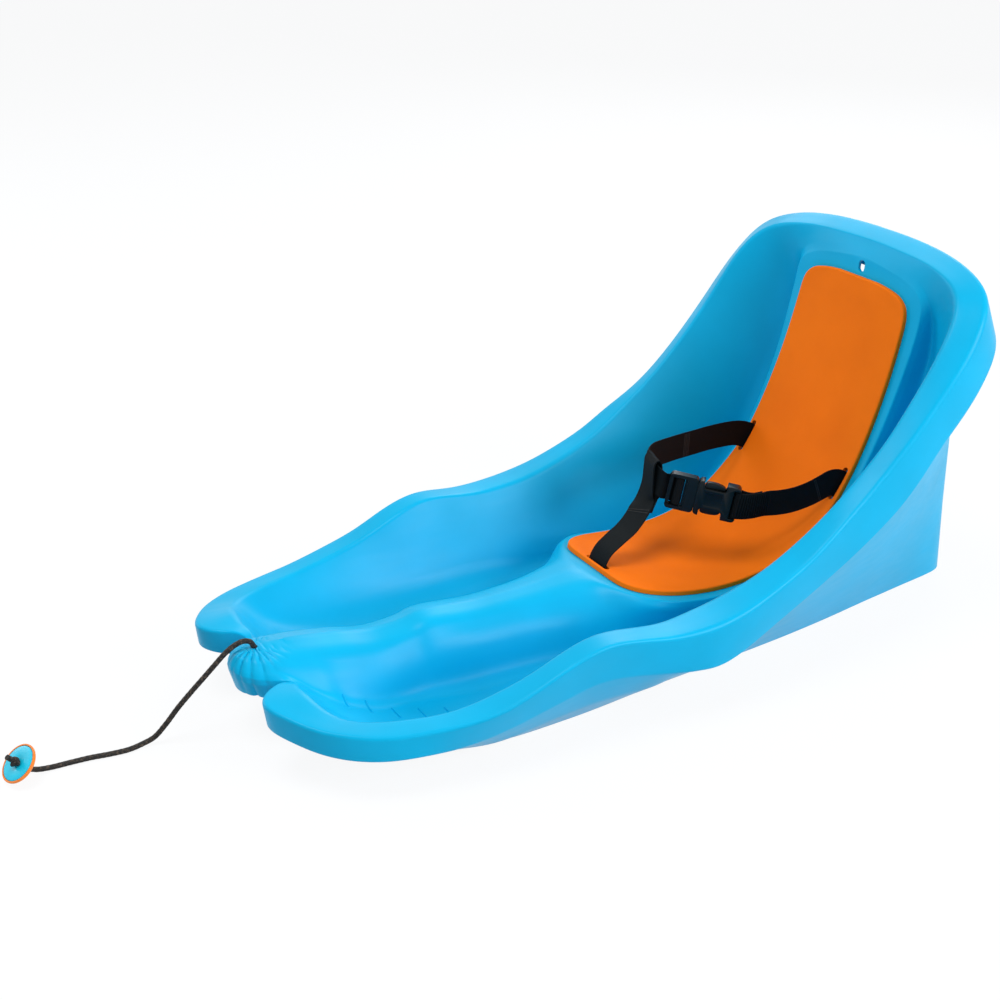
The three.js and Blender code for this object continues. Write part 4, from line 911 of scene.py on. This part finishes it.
class SLED_OT_rope(bpy.types.Operator):
    """Braided tow rope with its knots"""

    bl_idname = "sled.rope"
    bl_label = "Tow rope"

    def execute(self, context):
        sizes, colours = context.scene.sled_sizes, context.scene.sled_colours
        material = cord_yarn("rope_yarn", colours.rope)
        route = np.array(ROPE_ROUTE)
        path = evenly(spline(route, np.linspace(0, len(route) - 1, 600)), ROPE_STEP)
        rope = tube("tow_rope_braid", rope_rings(path, sizes.rope), material)
        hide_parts("tow_rope")
        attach(rope, "sled")
        for name, node_name in (("knot_under_nose", "rope_knot_inner"), ("knot_on_handle", "rope_knot_outer")):
            low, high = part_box(node_name)
            middle = (np.array(low) + np.array(high)) / 2
            facing = ROPE_HOLE[1] if "nose" in name else HANDLE_FACING
            self.knot(name, middle, facing, material, node_name)
        handle = build_handle(sizes, colours)
        return {"FINISHED"}

    def knot(self, name, middle, facing, material, node_name):
        """A trefoil of cord round a middle, closed on itself."""
        turn = np.linspace(0, 2 * math.pi, 160, endpoint=False)
        curve = np.stack([np.sin(turn) + 2 * np.sin(2 * turn), np.cos(turn) - 2 * np.cos(2 * turn),
                          -np.sin(3 * turn)], 1)
        curve *= np.array(KNOT_SCALE)
        matrix = facing_matrix(facing, middle)
        path = np.array([tuple(matrix @ Vector(p)) for p in curve])
        loop = np.concatenate([path[-1:], path, path[:2]])
        along = unit(loop[2:] - loop[:-2])[: len(path)]
        out = unit(path - np.array(middle))
        side = unit(np.cross(along, out))
        up = np.cross(side, along)
        ring = np.linspace(0, 2 * math.pi, 16, endpoint=False)
        rings = path[:, None] + KNOT_STRAND_RADIUS * (
            side[:, None] * np.cos(ring)[None, :, None] + up[:, None] * np.sin(ring)[None, :, None])
        faces = ring_faces(len(path), len(ring), closed=True)
        piece = new_piece(name, rings.reshape(-1, 3), faces, material, 80)
        outward(piece)
        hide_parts(node_name)
        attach(piece, "handle" if node_name == "rope_knot_outer" and "rope_knot_outer" in
                frame["record"]["behaviour"]["bodies"].get("handle", []) else "sled")
        return piece


def outward(piece):
    """Turns the piece's faces outwards."""
    work = bmesh.new()
    work.from_mesh(piece.data)
    bmesh.ops.recalc_face_normals(work, faces=work.faces)
    work.to_mesh(piece.data)
    work.free()


def lathe(name, profile, matrix, material, around=96, sharp=35):
    """A turned piece from a closed profile of radii and heights."""
    turn = np.linspace(0, 2 * math.pi, around, endpoint=False)
    points = [tuple(matrix @ Vector((r * math.cos(t), r * math.sin(t), h))) for t in turn for r, h in profile]
    faces = [(a, d, c, b) for a, b, c, d in ring_faces(around, len(profile), closed=True)]
    piece = new_piece(name, points, faces, material, sharp)
    outward(piece)
    shade(piece, sharp)
    return piece


def build_handle(sizes, colours):
    """The disc handle on the rope's end: its orange rim and its blue face."""
    matrix = facing_matrix(HANDLE_FACING, placed(HANDLE_PLACE))
    hole = sizes.rope / 2 + 0.00035  # the rope's play in the handle
    reach = sizes.handle / 2 - hole
    made = []
    for name, rows, colour, node_name, slot in (
        ("handle_rim_turned", RIM_PROFILE, colours.rim, "handle_rim", "handle_orange"),
        ("handle_face_turned", FACE_PROFILE, colours.face, "handle_face", "handle_blue"),
    ):
        profile = [(hole + reach * across, sizes.handle_height * up) for across, up in rows]
        material = moulded_plastic(name + "_plastic", colour, 0.34)
        piece = lathe(name, profile, matrix, material, 96, 30)
        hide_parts(node_name)
        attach(piece, "handle")
        made.append(piece)
    return made


class SLED_OT_hull(bpy.types.Operator):
    """Moulded shell with its slots, holes and floor ribs"""

    bl_idname = "sled.hull"
    bl_label = "Hull"

    def execute(self, context):
        sizes, colours = context.scene.sled_sizes, context.scene.sled_colours
        build_hull(sizes, colours)
        return {"FINISHED"}


def panel_line(stations):
    """The panel's centre line, the direction along it and the direction out of it."""
    back, middle, ahead = (hull_rails(stations + step)[:, 0] for step in (-0.05, 0, 0.05))
    along = unit(ahead - back)
    out = np.stack([np.zeros(len(along)), -along[:, 2], along[:, 1]], 1)
    return middle, along, out


class SLED_OT_pad(bpy.types.Operator):
    """Foam seat pad"""

    bl_idname = "sled.pad"
    bl_label = "Seat pad"

    def execute(self, context):
        sizes, colours = context.scene.sled_sizes, context.scene.sled_colours
        material = foam("pad_foam", colours.pad)
        table = np.concatenate([PAD_ROW_SHARES, np.zeros((len(PAD_ROW_SHARES), 1))], 1)
        top_row = len(table) - 1
        at = np.concatenate([np.linspace(0, 2, 14), np.linspace(2, top_row - 2, 150)[1:-1],
                             np.linspace(top_row - 2, top_row, 14)])
        balance = [1, 0.02, 1]  # one station counts about as much as 50 thousandths of width
        rows = spline(table * balance, at) / balance
        half = rows[:, 1] * SLED_LENGTH / WHOLE
        middle, _, out = panel_line(rows[:, 0])
        run = run_along(middle)
        edge = (0, 0.00012, 0.0005, 0.0014)
        border = 0.0032
        across = np.concatenate([[-half + e for e in edge], [(half - border) * t for t in np.linspace(-1, 1, 25)],
                                 [half - e for e in edge[::-1]]]).T
        outline = np.concatenate([np.stack([run, half], 1), np.stack([run, -half], 1)[::-1]])
        grid = np.stack([np.broadcast_to(run[:, None], across.shape), across], -1)
        distance = outline_distance(grid.reshape(-1, 2), outline).reshape(across.shape)
        rounding = 0.0016
        near = np.clip(rounding - distance, 0, rounding)
        drop = rounding - np.sqrt(rounding ** 2 - near ** 2)
        crown = 0.0012 * (1 - (across / half[:, None]) ** 2) * np.clip(distance / 0.02, 0, 1)
        swell = 0.00015 * np.sin(run[:, None] * 61 + 1) * np.cos(across * 83)
        height = sizes.pad_gap + sizes.pad - drop + crown + swell * np.clip(distance / 0.01, 0, 1)
        flat = middle[:, None] + across[..., None] * np.array([1.0, 0, 0])
        top = flat + out[:, None] * height[..., None]
        base = flat + out[:, None] * sizes.pad_gap
        points = np.concatenate([top.reshape(-1, 3), base.reshape(-1, 3)])
        index = np.arange(across.size).reshape(across.shape)
        upper, lower = sheet_faces(index)
        ring = np.concatenate([index[:, 0], index[-1, 1:], index[::-1, -1][1:], index[0, ::-1][1:]])
        walls = np.stack([ring[:-1], ring[1:], ring[1:] + across.size, ring[:-1] + across.size], 1)
        faces = np.concatenate([upper, lower + across.size, walls]).tolist()
        piece = new_piece("seat_pad_foam", points, faces, material, 60)
        weld(piece, 1e-7)
        outward(piece)
        slots = ((BACK_SLOT, -1), (BACK_SLOT, 1), (FRONT_SLOT, 1))
        joined(piece, [slot_cutter(slot, side, *PAD_SLOT_SIZE) for slot, side in slots])
        shade(piece, 50)
        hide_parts("seat_pad")
        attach(piece, "sled")
        return {"FINISHED"}


def outline_distance(points, outline):
    """The distance of each point from a closed outline."""
    start, end = outline, np.roll(outline, -1, axis=0)
    side = end - start
    away = points[:, None] - start[None]
    share = np.clip((away * side[None]).sum(-1) / np.maximum((side ** 2).sum(-1), 1e-12), 0, 1)
    return np.linalg.norm(away - side[None] * share[..., None], axis=-1).min(1)


def buckle_matrix():
    """The buckle's own frame: X towards the socket, Y across and Z out of it."""
    return basis(placed(BUCKLE_MIDDLE), BUCKLE_ALONG, BUCKLE_ACROSS)


def strap_places(table, loop=()):
    """A strap's places and directions across it, its loop given in the buckle's own frame."""
    places = [placed(row[:3]) for row in table]
    across = [np.array(row[3:]) for row in table]
    matrix = buckle_matrix()
    for row in loop:
        places.append(np.array(matrix @ Vector(np.array(row) * BUCKLE_SIZE)))
        across.append(np.array(matrix.to_3x3() @ Vector((0, 1, 0))))
    return np.array(places), unit(np.array(across))


def strap_frames(places, across, at):
    """Points of a strap's centre line, with the directions along, across and out of it."""
    fine = np.linspace(0, len(places) - 1, (len(places) - 1) * 24 + 1)
    line = spline(places, fine)
    wide = np.stack([np.interp(fine, np.arange(len(places)), across[:, axis]) for axis in range(3)], 1)
    for _ in range(60):
        wide[1:-1] = (wide[:-2] + 2 * wide[1:-1] + wide[2:]) / 4
    along = unit(np.gradient(line, axis=0))
    at = np.asarray(at, float)
    middle, along, wide = (np.stack([np.interp(at, fine, values[:, axis]) for axis in range(3)], 1)
                           for values in (line, along, wide))
    along = unit(along)
    wide = unit(wide - along * (wide * along).sum(1, keepdims=True))
    return middle, along, wide, np.cross(along, wide)


def webbing_strap(name, places, across, sizes, material):
    """A run of webbing with thin rolled edges."""
    at = np.linspace(0, len(places) - 1, (len(places) - 1) * 10 + 1)
    middle, _, wide, out = strap_frames(places, across, at)
    half, thick = sizes.webbing_width / 2, sizes.webbing / 2
    section = np.array(WEBBING_SECTION + [(-x, -z) for x, z in WEBBING_SECTION])
    rings = (middle[:, None] + wide[:, None] * (section[None, :, :1] * half)
             + out[:, None] * (section[None, :, 1:] * thick))
    piece = tube(name, rings, material, 55)
    run = run_along(middle)
    weave = np.zeros((len(piece.data.vertices), 3), np.float32)
    count = len(run) * len(section)
    weave[:count, 0] = np.repeat(run, len(section))
    weave[:count, 1] = np.tile(section[:, 0] * half, len(run))
    weave[count + 1, 0] = run[-1]
    data = piece.data.attributes.new("weave", "FLOAT_VECTOR", "POINT")
    data.data.foreach_set("vector", weave.ravel())
    outward(piece)
    return piece


class SLED_OT_straps(bpy.types.Operator):
    """Lap straps and crotch strap with their stitches"""

    bl_idname = "sled.straps"
    bl_label = "Straps"

    def execute(self, context):
        sizes, colours = context.scene.sled_sizes, context.scene.sled_colours
        material = woven_webbing("webbing_weave", colours.webbing)
        thread = cord_yarn("stitch_thread", STITCH_COLOUR)
        left = strap_places(LEFT_STRAP, LEFT_LOOP)
        right = strap_places(RIGHT_STRAP, RIGHT_LOOP)
        front = strap_places(FRONT_STRAP)
        for name, node_name, (places, across) in (
            ("lap_strap_left_webbing", "lap_strap_left", left),
            ("lap_strap_right_webbing", "lap_strap_right", right),
            ("crotch_strap_webbing", "crotch_strap", front),
        ):
            piece = webbing_strap(name, places, across, sizes, material)
            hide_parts(node_name)
            if node_name == "lap_strap_left":
                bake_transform(piece)
            else:
                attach(piece, "sled")
        thick = sizes.webbing / 2 + 0.0001
        span = np.linspace(-STITCH_HALF, STITCH_HALF, 9)[:, None]
        tacks = []
        for places, across, positions, sides in (
            (*left, (5.15, 5.22, 5.29, 5.36), (-1, 1)),
            (*front, (5.9, 6.05), (-1,)),
            (*right, (4.4, 4.52), (-1, 1)),
        ):
            for position in positions:
                middle, _, wide, out = strap_frames(places, across, [position])
                for side in sides:
                    tacks.append((middle + wide * span + out * side * thick, out[0] * side))
        stitches = beads("strap_stitches", tacks, *STITCH_BEADS, thread)
        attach(stitches, "sled")

        middle, _, _, out = strap_frames(*right, np.linspace(DOUBLED_FROM, DOUBLED_TO, 90))
        rows = [(middle + out * side * thick, out * side) for side in (-1, 1)]
        ribs = beads("doubled_webbing_ribs", rows, 0.0029, 0.0028, sizes.webbing_width + 0.0008, 0.0024, material)
        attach(ribs, "sled")
        return {"FINISHED"}


class SLED_OT_buckle(bpy.types.Operator):
    """Side-release buckle: plug, two sprung prongs and socket"""

    bl_idname = "sled.buckle"
    bl_label = "Buckle"

    def execute(self, context):
        colours = context.scene.sled_colours
        material = moulded_plastic("buckle_plastic", colours.buckle, 0.32, 0.00001, 0.00003, 0.28)
        matrix = buckle_matrix()
        length, width, height = BUCKLE_SIZE

        def block(x0, x1, y0, y1, z0, z1, radius=0.0):
            """A block between shares of the buckle's length, width and height."""
            outline = rounded_outline(x0 * length, x1 * length, y0 * width, y1 * width,
                                      max(radius, 1e-5), 5 if radius else 1)
            return prism("block", outline, z0 * height, z1 * height, matrix, material)

        plug = block(-0.5, -0.1, -0.5, 0.5, -0.38, 0.38, 0.004)
        joined(plug, [
            block(-0.452, -0.37, -0.405, 0.405, -1, 1, 0.001), block(-0.326, -0.284, -0.405, 0.405, -1, 1, 0.001),
            block(-0.52, -0.25, -0.405, 0.405, 0.17, 1), block(-0.52, -0.25, -0.405, 0.405, -1, -0.17)])
        joined(plug, [block(-0.12, 0.16, -0.09, 0.09, -0.2, 0.2)], "UNION")
        bevelled(plug, 0.0005, 3)
        plug.name = "buckle_plug_moulded"
        shade(plug, 35)
        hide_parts("buckle_plug")
        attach(plug, "plug")

        for side, name, node_name in ((1, "prong_upper_moulded", "plug_prong_upper"),
                                      (-1, "prong_lower_moulded", "plug_prong_lower")):
            outline = [(x * length, y * side * width) for x, y in PRONG_OUTLINE]
            half = 0.2 * height
            prong = prism(name, outline if side > 0 else outline[::-1], -half, half, matrix, material)
            outward(prong)
            bevelled(prong, 0.0006, 3)
            shade(prong, 35)
            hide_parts(node_name)
            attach(prong, "prong_upper" if side > 0 else "prong_lower")

        socket = block(-0.097, 0.5, -0.5, 0.5, -0.5, 0.5, 0.0045)
        bevelled(socket, 0.0006, 3)
        tools = [
            block(-1, 0.31, -0.42, 0.42, -0.26, 0.26), block(0.401, 0.452, -0.405, 0.405, -1, 1, 0.0012),
            block(0.401, 1, -0.405, 0.405, 0.2, 1), block(0.401, 1, -0.405, 0.405, -1, -0.2),
            block(-0.02, 0.3, 0.29, 1, -1, 1, 0.003), block(-0.02, 0.3, -1, -0.29, -1, 1, 0.003),
            block(0.02, 0.27, -0.2, 0.2, 0.44, 1, 0.002),
        ]
        joined(socket, tools)
        bevelled(socket, 0.00035, 2, 50)
        socket.name = "buckle_socket_moulded"
        shade(socket, 35)
        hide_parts("buckle_socket")
        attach(socket, "sled")
        return {"FINISHED"}


class SLED_OT_stops(bpy.types.Operator):
    """Strap stops behind the slots"""

    bl_idname = "sled.stops"
    bl_label = "Strap stops"

    def execute(self, context):
        colours = context.scene.sled_colours
        material = moulded_plastic("stop_plastic", colours.buckle, 0.4, 0.00001, 0.00003)
        for name in ("strap_stop_left", "strap_stop_right", "strap_stop_front"):
            stop = frame["nodes"][name]
            stop.data.materials.clear()
            stop.data.materials.append(material)
        return {"FINISHED"}


class SLED_PT_pieces(bpy.types.Panel):
    """Lists the sled's pieces"""

    bl_idname = "SLED_PT_pieces"
    bl_label = "Baby pull sled"
    bl_space_type = "VIEW_3D"
    bl_region_type = "UI"
    bl_category = "Sled"

    def draw(self, context):
        for settings in (context.scene.sled_sizes, context.scene.sled_colours):
            for key in settings.__annotations__:
                self.layout.prop(settings, key)
        for operator in OPERATORS:
            self.layout.operator(operator.bl_idname)


OPERATORS = (SLED_OT_stage, SLED_OT_rope, SLED_OT_hull, SLED_OT_pad, SLED_OT_straps, SLED_OT_buckle, SLED_OT_stops)
CLASSES = (SledSizes, SledColours, *OPERATORS, SLED_PT_pieces)


def register():
    for item in CLASSES:
        bpy.utils.register_class(item)
    bpy.types.Scene.sled_sizes = bpy.props.PointerProperty(type=SledSizes)
    bpy.types.Scene.sled_colours = bpy.props.PointerProperty(type=SledColours)


def unregister():
    del bpy.types.Scene.sled_sizes
    del bpy.types.Scene.sled_colours
    for item in reversed(CLASSES):
        bpy.utils.unregister_class(item)


def main():
    register()
    for operator in OPERATORS:
        group, name = operator.bl_idname.split(".")
        getattr(getattr(bpy.ops, group), name)()


if __name__ == "__main__":
    main()
